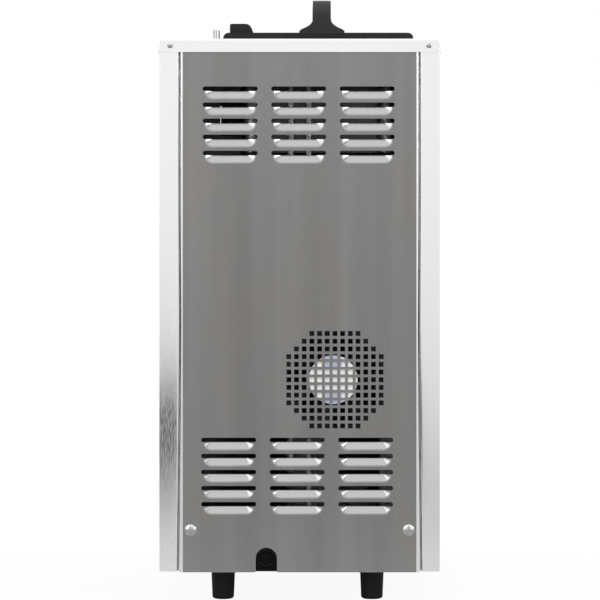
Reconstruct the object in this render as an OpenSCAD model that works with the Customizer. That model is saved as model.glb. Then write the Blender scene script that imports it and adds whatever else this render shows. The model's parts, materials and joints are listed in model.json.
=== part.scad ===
/* [Cabinet] */
// Width of the cabinet over its side panels
cab_w = 337; // [325:1:360]
// Depth of the cabinet from its front panel to its rear panel
cab_d = 500; // [490:1:540]
// Height from the underside of the cabinet to the top of its cover
cab_h = 640; // [630:1:680]
// Thickness of the cabinet's steel sheet
sheet_t = 1.2; // [0.8:0.1:1.4]
// Width of a side panel's return at the back and at the front
return_w = 24; // [21:1:26]
// Depth of a folded edge
fold_d = 12; // [8:1:13]
// Gap between the rear panel and a side return
panel_gap = 2; // [1:0.5:4]
// How far the cover stands out over the panels
cover_over = 1.5; // [1.5:0.1:3]
// Height of the cover's turned-down edge
skirt_h = 16; // [13:1:22]
// Thickness of the base pan's sheet
pan_t = 1.5; // [1:0.1:2]
// Height of the base pan's turned-up edge
pan_h = 25; // [18:1:30]
// Width of each leg of a corner post
post_w = 22; // [18:1:26]

/* [Feet] */
// Height of a foot
foot_h = 37.5; // [25:0.5:45]
// Diameter of a foot where it meets the base pan
foot_top_d = 29; // [24:1:36]
// Diameter of a foot at its tip
foot_tip_d = 26; // [20:1:30]
// Half of the distance between the feet, from side to side
foot_x = 90.5; // [60:0.5:100]
// How far the feet as a set stand off the middle plane
foot_shift = 2.5; // [0:0.5:4]
// Distance of a foot from the front or rear face
foot_in = 55; // [45:1:90]
// Diameter of a foot's stud
stud_d = 8; // [6:1:10]

/* [Louvers] */
// Length of a louver slot
slot_len = 66; // [50:1:70]
// Height of a louver slot
slot_h = 5.4; // [4:0.1:7]
// Height of the scoop under a slot
scoop_h = 9.1; // [8:0.1:11]
// Depth that a scoop is pressed in
scoop_deep = 5; // [4:0.1:6]
// Width of a scoop at its mouth
scoop_w = 61; // [45:1:64]
// Distance between louver columns
louver_dx = 82.3; // [75:0.1:90]
// Distance between louver rows
louver_dz = 19.3; // [18:0.1:22]
// Number of louver rows in a group
louver_rows = 5; // [2:1:6]
// Offset of the upper group from the middle plane
louver_top_x = 1.1; // [-4:0.1:4]
// Offset of the lower group from the middle plane
louver_low_x = 2.9; // [-4:0.1:4]
// Distance from the cover's top down to the upper group's first slot
louver_drop = 62.6; // [50:0.1:80]
// Distance from the cabinet's underside up to the lower group's last slot
louver_rise = 78.1; // [70:0.1:90]

/* [Rear fan] */
// Offset of the fan from the middle plane
fan_x = -42.5; // [-60:0.5:0]
// Height of the fan's axis over the cabinet's underside
fan_rise = 230.4; // [225:0.1:250]
// Side of the fan's square frame
fan_w = 120; // [115:1:124]
// Depth of the fan's frame
fan_d = 38; // [32:1:40]
// Diameter of the fan's hub
hub_d = 59; // [50:1:65]
// Diameter of the fan's shaft
fan_shaft_d = 5; // [3:1:8]
// Number of blades on the rear fan
fan_blades = 7; // [5:1:9]
// Side of a square vent hole
vent_hole = 5.9; // [4:0.1:7]
// Distance between vent holes
vent_pitch = 9.25; // [8.5:0.05:9.8]

/* [Cord inlet] */
// Offset of the cord inlet from the middle plane
inlet_x = 40; // [25:1:50]
// Width of the notch in the rear panel
notch_w = 26.2; // [25:0.1:32]
// Height of the notch in the rear panel
notch_h = 28.8; // [28:0.1:34]
// Outer diameter of the gland
gland_d = 24; // [20:0.5:24.5]
// Bore of the gland
gland_bore = 11; // [8:0.5:13]
// Height of the gland's axis over the cabinet's underside
gland_rise = 15.7; // [14:0.1:16]

/* [Screws] */
// Diameter of a domed panel screw's head
panel_screw_d = 14; // [10:0.5:16]
// Distance of a panel screw from the rear panel's edge
panel_screw_in = 11.5; // [10.5:0.5:17]
// Height of a panel screw over the cabinet's underside
panel_screw_rise = 49.5; // [46:0.5:60]
// Diameter of a cover screw's head
cover_screw_d = 7; // [5:0.5:8]
// Distance of a cover screw from the cabinet's corner
cover_screw_in = 13; // [10:0.5:14]
// Height of a cover screw's head
cover_screw_h = 1.5; // [1:0.1:2]
// Height of a panel screw's head
panel_screw_h = 2.6; // [2:0.1:2.9]

/* [Hopper] */
// Offset of the hopper from the middle plane
hopper_x = -23; // [-30:1:-10]
// Width of the hopper's inside
hopper_w = 190; // [170:1:200]
// Length of the hopper's inside
hopper_l = 280; // [250:1:300]
// Depth of the hopper under the cover
hopper_deep = 130; // [110:1:130]
// Thickness of the hopper's sheet
hopper_t = 1.5; // [1:0.1:2]
// Radius of the hopper's corners
hopper_r = 24; // [15:1:35]
// Width of the hopper's rim
rim_w = 10; // [8:1:12]
// Distance from the rear panel to the lid's rear edge
lid_back = 100; // [90:1:120]
// Thickness of the hopper gasket
gasket_t = 2; // [1.5:0.1:3]
// How far the lid reaches past the hopper's inside
lid_over = 22.5; // [19:0.5:24]
// Thickness of the lid
lid_t = 12; // [9:0.5:16]
// Wall of the lid
lid_wall = 3; // [2:0.1:4]
// Depth of the bevel on the lid's end
lid_bevel = 7; // [4:0.5:8]

/* [Lid handle] */
// Offset of the handle from the lid's middle
handle_off = -5; // [-15:1:15]
// Width of the handle's bar
handle_w = 23.5; // [16:0.5:26]
// Width of the handle at its foot
handle_foot_w = 57; // [46:1:64]
// Thickness of the pad at each end of the handle
handle_pad = 8.5; // [4:0.5:10]
// Height of the curve that joins the bar to its pad
handle_flare = 9; // [6:0.5:14]
// Length of the handle
handle_l = 150; // [120:1:180]
// Height of the handle over the lid
handle_h = 49; // [44:1:60]
// Thickness of the handle's bar
handle_bar = 15; // [12:1:20]

/* [Freezing cylinder] */
// Distance from the cover's top down to the cylinder's axis
barrel_drop = 218; // [216:1:230]
// Inner radius of the cylinder
barrel_r = 45; // [40:1:47]
// Wall of the cylinder
barrel_t = 2.5; // [2:0.1:3]
// Length of the cylinder behind the front panel
barrel_l = 240; // [220:1:250]
// Radius of the evaporator's tube
evap_r = 4; // [3:0.5:4.5]
// Thickness of the foam outside the evaporator
foam_t = 20; // [14:1:20]
// Radius of the beater's shaft
beater_shaft_r = 10; // [8:0.5:11]
// Gap between the scraper blades and the cylinder
blade_gap = 0.4; // [0.3:0.1:1]
// Thickness of a scraper blade
blade_t = 3.4; // [2.5:0.1:4]
// Radial running clearance of a shaft in its bore
run_gap = 0.05; // [0.03:0.01:0.09]

/* [Drive] */
// Radius of the driven pulley
pulley_r = 60; // [54:1:64]
// Radius of the motor pulley
motor_pulley_r = 26; // [22:1:32]
// Width of a pulley
pulley_w = 18; // [16:1:22]
// Sideways offset of the motor from the cylinder's axis
motor_x = 60; // [40:1:75]
// Distance from the cylinder's axis down to the motor's axis
motor_drop = 165; // [155:1:170]
// Radius of the motor
motor_r = 55; // [48:1:58]
// Length of the motor
motor_l = 160; // [140:1:170]
// Radius of the pulley shafts
pulley_shaft_r = 8; // [6:1:10]

/* [Refrigeration] */
// Radius of the compressor's shell
comp_r = 65; // [55:1:68]
// Height of the compressor's shell
comp_h = 185; // [150:1:190]
// Sideways place of the compressor
comp_x = 82; // [78:1:88]
// Distance from the front panel to the compressor's axis
comp_in = 100; // [95:1:110]
// Thickness of the condenser's fin block
cond_t = 36; // [28:1:40]
// Length of the condenser's fin block
cond_l = 200; // [180:1:210]
// Height of the condenser's fin block
cond_h = 230; // [200:1:240]
// Number of fins on the condenser
cond_fins = 14; // [8:1:18]
// Radius of the condenser fan
cond_fan_r = 82; // [70:1:84]
// Number of blades on the condenser fan
cond_blades = 5; // [3:1:6]
// Radius of a refrigerant pipe
pipe_r = 4; // [2.5:0.1:4]
// Radius of a pipe's bends
bend_r = 12; // [9:1:16]
// Distance of the pipes from the rear panel
pipe_in = 62; // [60:1:70]

/* [Dispensing head] */
// Width of the dispensing door
door_w = 140; // [128:1:150]
// Height of the dispensing door
door_h = 128; // [120:1:140]
// Thickness of the door's plate
door_t = 24; // [18:1:26]
// Thickness of the cylinder's front flange
flange_t = 6; // [4:0.5:8]
// Outer radius of the draw valve's boss
boss_r = 22; // [19:1:24]
// Radius of the draw piston
piston_r = 14; // [12:0.5:15]
// Length of the lever's short arm
nose_arm = 24; // [23:0.5:26]
// Swing of the lever
lever_swing = 70; // [50:1:75]
// Length of the lever's long arm
lever_l = 66; // [55:1:70]
// Radius of the lever's pin
pin_r = 4; // [3:0.5:5]
// Diameter of a door knob
knob_d = 34; // [28:1:36]
// Number of lobes on a door knob
knob_lobes = 5; // [4:1:7]
// Number of points on the nozzle's star
star_points = 6; // [5:1:8]

/* [Drip tray] */
// Width of the drip tray
tray_w = 210; // [170:1:230]
// Distance that the tray stands out from the front panel
tray_reach = 120; // [118:1:140]
// Height of the drip tray
tray_h = 32; // [26:1:40]
// Height of the tray's underside over the cabinet's underside
tray_rise = 70; // [50:1:100]
// Wall of the drip tray
tray_t = 2; // [1.5:0.1:3]
// Thickness of the tray's grid
grid_t = 2.5; // [2:0.1:4]

/* [Controls] */
// Width of the control panel
ctrl_w = 244; // [236:1:260]
// Height of the control panel
ctrl_h = 76; // [70:1:84]
// Distance from the cover's top down to the control panel
ctrl_drop = 26; // [24:1:30]
// Thickness of the control panel
ctrl_t = 3; // [2.5:0.1:4]
// Diameter of a button
button_d = 16; // [12:0.5:18]
// Travel of a button
button_travel = 1.5; // [0.8:0.1:2]
// Width of the display window
display_w = 80; // [60:1:84]
// Height of the display window
display_h = 34; // [26:1:40]

/* [Hidden] */
$fn = 64;

// A cut runs this far past the face that it opens
past = 1;
// Gap between pieces that pass each other without touching
clear = 0.3;
// Gap all round where a piece drops into an opening
drop_gap = 0.5;

// The depth that the origin is centred on runs from the tray to the cover's screws
all_d = tray_reach + cab_d + cover_over + cover_screw_h;
rear_y = all_d / 2 - cover_over - cover_screw_h;
front_y = rear_y - cab_d;
base_z = foot_h;
top_z = base_z + cab_h;
in_x = cab_w / 2 - sheet_t;
under_cover = top_z - sheet_t;
floor_z = base_z + pan_t;
panel_half = cab_w / 2 - return_w - panel_gap;
panel_screw_x = panel_half - panel_screw_in;

// Inside the folded corners of the panels
pan_side = panel_half - sheet_t - panel_gap;
pan_back = rear_y - fold_d - panel_gap;
pan_front = front_y + fold_d + panel_gap;

// A scoop is part of a capsule whose axis lies outside the panel. Its sizes are rounded to tenths,
// so that its straight and round stretches meet exactly.
scoop_off = tenth((scoop_h * scoop_h - scoop_deep * scoop_deep) / (2 * scoop_deep));
scoop_r = scoop_off + scoop_deep;
scoop_in_r = scoop_r - sheet_t;
scoop_sink = 0.2;
hole_r = tenth(sqrt(scoop_in_r * scoop_in_r - scoop_off * scoop_off) + 1.5 * scoop_sink);
scoop_half = scoop_w / 2 - scoop_h;

louver_top_z = top_z - louver_drop - (louver_rows - 1) * louver_dz;
louver_low_z = base_z + louver_rise;

fan_z = base_z + fan_rise;
fan_back = rear_y - sheet_t;
fan_front = fan_back - fan_d;
duct_r = fan_w / 2 - 3;

gland_z = base_z + gland_rise;
gland_flat_t = 4;
gland_shank_r = gland_d / 2 - 3;

hopper_rear = rear_y - lid_back - lid_over;
hopper_mid_y = hopper_rear - hopper_l / 2;
hopper_floor = top_z - hopper_deep;
lid_z = top_z + hopper_t + gasket_t;
lid_top = lid_z + lid_t;
lid_w = hopper_w + 2 * lid_over;
lid_l = hopper_l + 2 * lid_over;
catch_w = 28.5;
catch_l = 26;
catch_h = 11.5;
pin_x = hopper_x + lid_w / 2 + 8;
pin_y = rear_y - lid_back - 6;
pin_h = 19.5;
feed_l = 92;

barrel_z = top_z - barrel_drop;
flange_y = front_y - flange_t;
barrel_back = front_y + barrel_l;
barrel_out = barrel_r + barrel_t;
evap_y0 = front_y + 24;
evap_y1 = barrel_back - 30;
foam_r = barrel_out + 2 * evap_r + 1;
foam_half = foam_r + foam_t;
deck_z = barrel_z - foam_half;
feed_in = 150;
feed_y = front_y + feed_in;
feed_r = 13;
feed_drop = 12;
blade_r = barrel_r - blade_gap;
screw_r = blade_r - blade_t;
beater_y0 = front_y + 12;
beater_y1 = barrel_back - 12;

gear_y0 = barrel_back + 14;
gear_d = 86;
gear_y1 = gear_y0 + gear_d;
pulley_y0 = gear_y1 + 8;
pulley_y1 = pulley_y0 + pulley_w;
pulley_shaft_in = 29;
belt_mid = (pulley_y0 + pulley_y1) / 2;
belt_w = 9;
belt_t = 5;
groove = 7;
motor_z = barrel_z - motor_drop;
motor_y1 = gear_y1;
motor_y0 = motor_y1 - motor_l;
motor_shaft_in = 40;

comp_y = front_y + comp_in;
cond_x0 = -in_x + 9;
cond_x1 = cond_x0 + cond_t;
cond_y0 = front_y + 42;
cond_y1 = cond_y0 + cond_l;
cond_mid_y = (cond_y0 + cond_y1) / 2;
cond_mid_z = floor_z + cond_h / 2;
comp_port_z = floor_z + 110;
shroud_t = 1.5;
shroud_x1 = cond_x1 + 20;
cond_fan_x = cond_x1 + 6;
cond_motor_x = cond_x1 + 26;

door_y = flange_y - door_t;
draw_y = door_y - piston_r;
bore_r = piston_r + run_gap;
boss_low = barrel_z - door_h / 2 - 10;
boss_top = barrel_z + 34;
pivot_y = draw_y - nose_arm;
pivot_z = barrel_z + 64;
nose_low = nose_arm * sin(lever_swing / 2);
nose_z = pivot_z - nose_low;
nose_y = pivot_y + nose_arm * cos(lever_swing / 2);
nose_r = 5;
passage_z = barrel_z - 24;
passage_r = 8;
ring_places = [passage_z - 16, passage_z + 14];
lever_rest = 65;
stud_x = door_w / 2 - 16;
stud_z = door_h / 2 - 16;

tray_z = base_z + tray_rise;
tray_top = tray_z + tray_h;
tray_front = front_y - tray_reach;
tray_back = front_y - 3;
ledge_t = tray_t + 3;
grid_z = tray_top - grid_t - 2;

pipe_x0 = 10.6;
pipe_x1 = -11.3;

ctrl_top = top_z - ctrl_drop;
ctrl_z = ctrl_top - ctrl_h / 2;
ctrl_face = front_y - ctrl_t;
window_w = ctrl_w - 30;
window_h = ctrl_h - 20;
board_y = front_y + 14;
board_t = 1.6;
display_x = -ctrl_w / 2 + 25 + display_w / 2;
button_x0 = 8;
button_dx = 32;
rocker_x = button_x0 + 3 * button_dx - 4;

// ---- Shapes that repeat ----

// A block between two opposite corners
module slab(low, high) {
    translate(low) cube(high - low);
}

// A copy on each side of the middle plane
module both_sides() {
    for (s = [0, 1]) mirror([s, 0, 0]) children();
}

// A flat shape drawn in X and Z, made t thick, with its outer face at y
module wall_xz(y, t) {
    translate([0, y, 0]) rotate([90, 0, 0]) linear_extrude(t) children();
}

// A flat shape drawn in Y and Z, made t thick, from x outwards along +X
module wall_yz(x, t) {
    translate([x, 0, 0]) rotate([90, 0, 90]) linear_extrude(t) children();
}

// A round bar along Y from y0 to y1
module bar_y(r, y0, y1) {
    translate([0, y1, 0]) rotate([90, 0, 0]) cylinder(r = r, h = y1 - y0);
}

// A round bar along X from x0 to x1
module bar_x(r, x0, x1) {
    translate([x0, 0, 0]) rotate([0, 90, 0]) cylinder(r = r, h = x1 - x0);
}

// A shape turned about Y, drawn with its radius in X and its place along Y
module turned_y() {
    rotate([-90, 0, 0]) rotate_extrude() children();
}

// A rectangle with round corners about the origin
module round_rect(w, h, r) {
    square([w - 2 * r, h], center = true);
    square([w, h - 2 * r], center = true);
    for (x = [-1, 1], y = [-1, 1]) translate([x * (w / 2 - r), y * (h / 2 - r)]) circle(r = r);
}

// A slot with round ends about the origin
module slot_2d(len, h) {
    square([len - h, h], center = true);
    for (s = [-1, 1]) translate([s * (len - h) / 2, 0]) circle(d = h);
}

// The turn that carries X, Y and Z onto three directions, at a place
function placed(a, b, c, p) = [
    [a[0], b[0], c[0], p[0]],
    [a[1], b[1], c[1], p[1]],
    [a[2], b[2], c[2], p[2]],
    [0, 0, 0, 1]
];
function unit(v) = v / norm(v);

// A length rounded to a tenth of a millimetre
function tenth(v) = round(10 * v) / 10;

// A pipe through points whose stretches turn at right angles, with round bends
module pipe_run(p, r, b) {
    last = len(p) - 1;
    for (i = [0:last - 1]) {
        d = unit(p[i + 1] - p[i]);
        side = abs(d[2]) > 0.5 ? [1, 0, 0] : [0, 0, 1];
        start = p[i] + (i > 0 ? b : 0) * d;
        end = p[i + 1] - (i < last - 1 ? b : 0) * d;
        multmatrix(placed(side, cross(d, side), d, start)) cylinder(r = r, h = norm(end - start));
    }
    for (i = [1:last - 1]) {
        u = unit(p[i] - p[i - 1]);
        v = unit(p[i + 1] - p[i]);
        multmatrix(placed(-v, u, cross(u, v), p[i] + (v - u) * b))
            rotate_extrude(angle = 90) translate([b, 0]) circle(r = r);
    }
}

// The hole that one louver leaves in a sheet, about the slot's lower edge
module louver_hole() {
    translate([0, slot_h / 2]) slot_2d(slot_len, slot_h);
    intersection() {
        union() {
            square([2 * scoop_half, 2 * hole_r], center = true);
            for (s = [-1, 1]) translate([s * scoop_half, 0]) circle(r = hole_r);
        }
        translate([-scoop_w / 2, -scoop_h]) square([scoop_w, scoop_h + slot_h / 2]);
    }
}

// A half outline of the capsule that a scoop is cut from
module capsule_half(r) {
    intersection() {
        union() {
            square([2 * r, 2 * scoop_half], center = true);
            for (s = [-1, 1]) translate([0, s * scoop_half]) circle(r = r);
        }
        translate([0, -scoop_half - r]) square([r, 2 * (scoop_half + r)]);
    }
}

// The pressed scoop under one slot, for a panel that faces +Y
module scoop() {
    intersection() {
        multmatrix(placed([0, 0, -1], [0, -1, 0], [-1, 0, 0], [0, scoop_off, 0]))
            rotate_extrude(angle = 90) difference() {
                capsule_half(scoop_r);
                capsule_half(scoop_in_r);
            }
        slab([-scoop_w, -2 * scoop_deep, -2 * scoop_h], [scoop_w, -scoop_sink, -scoop_sink]);
    }
}

// ---- Cabinet ----

// The pan's floor, with its corners cut away where the panels fold inwards
module pan_floor() {
    polygon([
        [-in_x, pan_front], [-pan_side, pan_front], [-pan_side, front_y + sheet_t],
        [pan_side, front_y + sheet_t], [pan_side, pan_front], [in_x, pan_front],
        [in_x, pan_back], [pan_side, pan_back], [pan_side, rear_y - sheet_t],
        [-pan_side, rear_y - sheet_t], [-pan_side, pan_back], [-in_x, pan_back]
    ]);
}

module foot_places() {
    for (x = [-1, 1], y = [front_y + foot_in, rear_y - foot_in])
        translate([x * foot_x + foot_shift, y, 0]) children();
}

// A folded steel tray with tabs for the rear panel's screws and a wall for the gland
module base_pan() {
    wall_y = rear_y - sheet_t - pan_t;
    tab_w = 2 * (pan_side - panel_screw_x);
    color("silver") difference() {
        union() {
            translate([0, 0, base_z]) linear_extrude(pan_t) pan_floor();
            both_sides() slab([in_x - pan_t, pan_front, base_z], [in_x, pan_back, base_z + pan_h]);
            slab([-pan_side, front_y + sheet_t, base_z],
                [pan_side, front_y + sheet_t + pan_t, base_z + pan_h]);
            slab([-pan_side, wall_y, base_z], [pan_side, rear_y - sheet_t, base_z + notch_h + 4]);
            both_sides() slab([panel_screw_x - tab_w / 2, wall_y, base_z],
                [panel_screw_x + tab_w / 2, rear_y - sheet_t, base_z + panel_screw_rise + 8]);
        }
        foot_places() translate([0, 0, base_z - past]) cylinder(d = stud_d + 2 * clear, h = pan_t + 2 * past);
        translate([inlet_x, 0, gland_z]) bar_y(gland_shank_r + clear, wall_y - past, rear_y);
        both_sides() translate([panel_screw_x, 0, base_z + panel_screw_rise])
            bar_y(2 + clear, wall_y - past, rear_y);
    }
}

// Four folded angles that stand in the pan's corners and carry the deck
module corner_posts() {
    color("silver") both_sides() for (s = [0, 1]) {
        y = s > 0 ? pan_back : pan_front;
        leg = s > 0 ? -post_w : post_w;
        x = in_x - pan_t;
        slab([x - sheet_t, min(y, y + leg), floor_z], [x, max(y, y + leg), under_cover]);
        slab([x - post_w, s > 0 ? y - sheet_t : y, floor_z],
            [x, s > 0 ? y : y + sheet_t, under_cover]);
    }
}

// The shelf under the cylinder, with its edges turned down between the posts
module barrel_deck() {
    x = in_x - pan_t - sheet_t;
    y0 = pan_front + sheet_t;
    color("silver") {
        slab([-x, y0, deck_z - sheet_t], [x, gear_y1, deck_z]);
        both_sides() slab([x - sheet_t, y0, deck_z - 20], [x, gear_y1, deck_z]);
        slab([-x, y0, deck_z - 20], [x, y0 + sheet_t, deck_z]);
        slab([-x, gear_y1 - sheet_t, deck_z - 14], [x, gear_y1, deck_z]);
    }
}

// Places of one group of louvers, from the lowest slot's edge up
module louver_places(cols, x0, z0) {
    for (i = [0:cols - 1], k = [0:louver_rows - 1])
        translate([x0 + (i - (cols - 1) / 2) * louver_dx, z0 + k * louver_dz]) children();
}

// A side panel at the +X side, with its edges returned twice at the back and front
module side_panel() {
    x_out = cab_w / 2;
    low = louver_low_z;
    union() {
        wall_yz(in_x, sheet_t) difference() {
            translate([front_y, base_z]) square([cab_d, under_cover - base_z]);
            louver_places(2, cond_mid_y, low) louver_hole();
        }
        for (i = [0, 1], k = [0:louver_rows - 1])
            translate([x_out, cond_mid_y + (i - 0.5) * louver_dx, low + k * louver_dz])
                rotate([0, 0, -90]) scoop();
        for (s = [0, 1]) {
            face = s > 0 ? rear_y : front_y;
            inward = s > 0 ? -1 : 1;
            y1 = face + inward * sheet_t;
            y2 = face + inward * fold_d;
            difference() {
                slab([x_out - return_w, min(face, y1), base_z], [x_out, max(face, y1), under_cover]);
                translate([x_out - cover_screw_in, 0, top_z - skirt_h / 2])
                    bar_y(1.5 + clear, min(face, y1) - past, max(face, y1) + past);
            }
            slab([x_out - return_w, min(face, y2), base_z],
                [x_out - return_w + sheet_t, max(face, y2), under_cover]);
        }
    }
}

module side_panel_left() {
    color("gainsboro") side_panel();
}

module side_panel_right() {
    color("gainsboro") mirror([1, 0, 0]) side_panel();
}

// The square holes over the fan, which fill an octagon
module vent_holes() {
    for (i = [-6:6], k = [-6:6])
        if (abs(i) + abs(k) <= 9)
            translate([fan_x + i * vent_pitch, fan_z + k * vent_pitch])
                square(vent_hole, center = true);
}

module rear_panel() {
    color("darkgray") {
        wall_xz(rear_y, sheet_t) difference() {
            translate([-panel_half, base_z]) square([2 * panel_half, under_cover - base_z]);
            louver_places(3, louver_top_x, louver_top_z) louver_hole();
            louver_places(3, louver_low_x, louver_low_z) louver_hole();
            vent_holes();
            translate([inlet_x, base_z + notch_h - notch_w / 2]) circle(d = notch_w);
            translate([inlet_x - notch_w / 2, base_z - past])
                square([notch_w, notch_h - notch_w / 2 + past]);
            both_sides() translate([panel_screw_x, base_z + panel_screw_rise]) circle(r = 2 + clear);
        }
        for (place = [[louver_top_x, louver_top_z], [louver_low_x, louver_low_z]])
            for (i = [-1:1], k = [0:louver_rows - 1])
                translate([place[0] + i * louver_dx, rear_y, place[1] + k * louver_dz]) scoop();
        both_sides() slab([panel_half - sheet_t, rear_y - fold_d, base_z],
            [panel_half, rear_y, under_cover]);
    }
}

module front_panel() {
    color("silver") {
        wall_xz(front_y + sheet_t, sheet_t) difference() {
            translate([-panel_half, base_z]) square([2 * panel_half, under_cover - base_z]);
            translate([0, barrel_z]) circle(r = barrel_out + clear);
            translate([0, ctrl_z]) square([window_w, window_h], center = true);
        }
        both_sides() slab([panel_half - sheet_t, front_y, base_z],
            [panel_half, front_y + fold_d, under_cover]);
    }
}

// The cover is a shallow box turned upside down, open over the hopper
module top_cover() {
    w = cab_w + 2 * cover_over;
    d = cab_d + 2 * cover_over;
    mid = (front_y + rear_y) / 2;
    color("whitesmoke") difference() {
        translate([-w / 2, mid - d / 2, top_z - skirt_h]) cube([w, d, skirt_h]);
        translate([-w / 2 + sheet_t, mid - d / 2 + sheet_t, top_z - skirt_h - past])
            cube([w - 2 * sheet_t, d - 2 * sheet_t, skirt_h - sheet_t + past]);
        translate([hopper_x, hopper_mid_y, top_z - sheet_t - past])
            linear_extrude(sheet_t + 2 * past)
                round_rect(hopper_w + 2 * (hopper_t + drop_gap), hopper_l + 2 * (hopper_t + drop_gap),
                    hopper_r + hopper_t + drop_gap);
        both_sides() translate([cab_w / 2 - cover_screw_in, 0, top_z - skirt_h / 2])
            bar_y(1.5 + clear, mid - d, mid + d);
        translate([pin_x, pin_y, top_z - sheet_t - past])
            cylinder(r = 2 + clear, h = sheet_t + 2 * past);
    }
}

// ---- Feet and screws ----

// A tapered rubber foot whose tip is domed round a small flat, and the stud that holds it
module feet() {
    tip = foot_tip_d / 2;
    dome = 3;
    flat = 7;
    color([0.12, 0.12, 0.12]) foot_places() {
        rotate_extrude() polygon(concat([[0, 0]],
            [for (a = [0:15:90]) [flat + (tip - flat) * sin(a), dome * (1 - cos(a))]],
            [[foot_top_d / 2, foot_h], [0, foot_h]]));
        cylinder(d = stud_d, h = foot_h + pan_t + 8);
    }
}

// A low round head on a shank, standing out along +Y from the face at the origin
module screw_y(head_d, head_h, shank_r, shank_l) {
    cap_r = (head_d * head_d / 4 + head_h * head_h) / (2 * head_h);
    intersection() {
        translate([0, head_h - cap_r, 0]) sphere(r = cap_r);
        bar_y(head_d / 2 + past, 0, head_h + past);
    }
    bar_y(shank_r, -shank_l, head_h / 2);
}

// Cross-slotted screws that hold the cover's skirt at the back and front
module cover_screws() {
    slot_w = 1;
    slot_l = cover_screw_d * 0.6;
    slot_deep = cover_screw_h * 0.6;
    color("lightgray") both_sides() for (s = [0, 1])
        translate([cab_w / 2 - cover_screw_in, (s > 0 ? rear_y + cover_over : front_y - cover_over),
            top_z - skirt_h / 2])
            rotate([0, 0, s > 0 ? 0 : 180]) difference() {
                screw_y(cover_screw_d, cover_screw_h, 1.5, 8);
                slab([-slot_l / 2, cover_screw_h - slot_deep, -slot_w / 2],
                    [slot_l / 2, cover_screw_h + past, slot_w / 2]);
                slab([-slot_w / 2, cover_screw_h - slot_deep, -slot_l / 2],
                    [slot_w / 2, cover_screw_h + past, slot_l / 2]);
            }
}

module rear_panel_screws() {
    slot_w = 1.6;
    color("lightgray") both_sides()
        translate([panel_screw_x, rear_y, base_z + panel_screw_rise]) difference() {
            screw_y(panel_screw_d, panel_screw_h, 2, 10);
            slab([-slot_w / 2, panel_screw_h / 2, -panel_screw_d],
                [slot_w / 2, panel_screw_h + past, panel_screw_d]);
        }
}

// ---- Cord inlet ----

// A round gland with grip notches, clamped through the pan's rear wall. Its flange fills the notch.
module cord_gland() {
    wall_y = rear_y - sheet_t;
    out = rear_y + 2;
    flange_r = notch_w / 2 - clear;
    flange_z = notch_h - notch_w / 2 - gland_rise;
    color([0.07, 0.07, 0.09]) translate([inlet_x, 0, gland_z]) difference() {
        union() {
            wall_xz(wall_y + past, past) {
                translate([0, flange_z]) circle(r = flange_r);
                translate([-flange_r, clear - gland_rise])
                    square([2 * flange_r, flange_z + gland_rise - clear]);
            }
            bar_y(gland_d / 2, wall_y, wall_y + gland_flat_t / 2);
            bar_y(gland_d / 2 - 1.5, wall_y, out);
            bar_y(gland_shank_r, wall_y - pan_t - 14, wall_y + past);
        }
        bar_y(gland_bore / 2, wall_y - pan_t - 20, out + past);
        for (i = [0:11]) rotate([0, i * 30, 0])
            slab([gland_d / 2 - 3.5, wall_y + gland_flat_t / 2, -1.2], [gland_d / 2 + past, out + past, 1.2]);
    }
}

// The six-sided nut on the gland's shank, inside the pan's wall
module gland_nut() {
    wall_y = rear_y - sheet_t - pan_t;
    color([0.1, 0.1, 0.12]) translate([inlet_x, wall_y, gland_z]) rotate([90, 0, 0]) difference() {
        cylinder(d = gland_d + 2, h = 5, $fn = 6);
        translate([0, 0, -past]) cylinder(r = gland_shank_r + run_gap, h = 5 + 2 * past);
    }
}

// ---- Hopper and lid ----

// A pressed steel tub that hangs by its rim, with a round outlet in its floor
module hopper() {
    w = hopper_w + 2 * hopper_t;
    l = hopper_l + 2 * hopper_t;
    color("silver") difference() {
        translate([hopper_x, hopper_mid_y, 0]) {
            translate([0, 0, top_z]) linear_extrude(hopper_t)
                round_rect(w + 2 * rim_w, l + 2 * rim_w, hopper_r + hopper_t + rim_w);
            translate([0, 0, hopper_floor - hopper_t]) linear_extrude(hopper_deep + hopper_t)
                round_rect(w, l, hopper_r + hopper_t);
        }
        translate([hopper_x, hopper_mid_y, hopper_floor])
            linear_extrude(hopper_deep + hopper_t + past) round_rect(hopper_w, hopper_l, hopper_r);
        translate([0, feed_y, hopper_floor - hopper_t - past]) cylinder(r = feed_r, h = hopper_t + 2 * past);
    }
}

module hopper_gasket() {
    w = hopper_w + 2 * hopper_t + rim_w;
    l = hopper_l + 2 * hopper_t + rim_w;
    band = rim_w;
    color([0.2, 0.2, 0.2]) translate([hopper_x, hopper_mid_y, top_z + hopper_t])
        linear_extrude(gasket_t) difference() {
            round_rect(w + band / 2, l + band / 2, hopper_r + rim_w);
            round_rect(w - band / 2, l - band / 2, hopper_r + rim_w / 2);
        }
}

// The lid's end view: bevelled at the +X end and rounded at the other
module lid_profile() {
    half = lid_w / 2;
    edge = 5;
    polygon([
        [-half, 0], [half, 0], [half, lid_t - lid_bevel], [half - lid_bevel, lid_t],
        [-half + edge, lid_t], [-half, lid_t - edge]
    ]);
    translate([-half + edge, lid_t - edge]) intersection() {
        circle(r = edge);
        translate([-edge, 0]) square(edge);
    }
}

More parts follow.
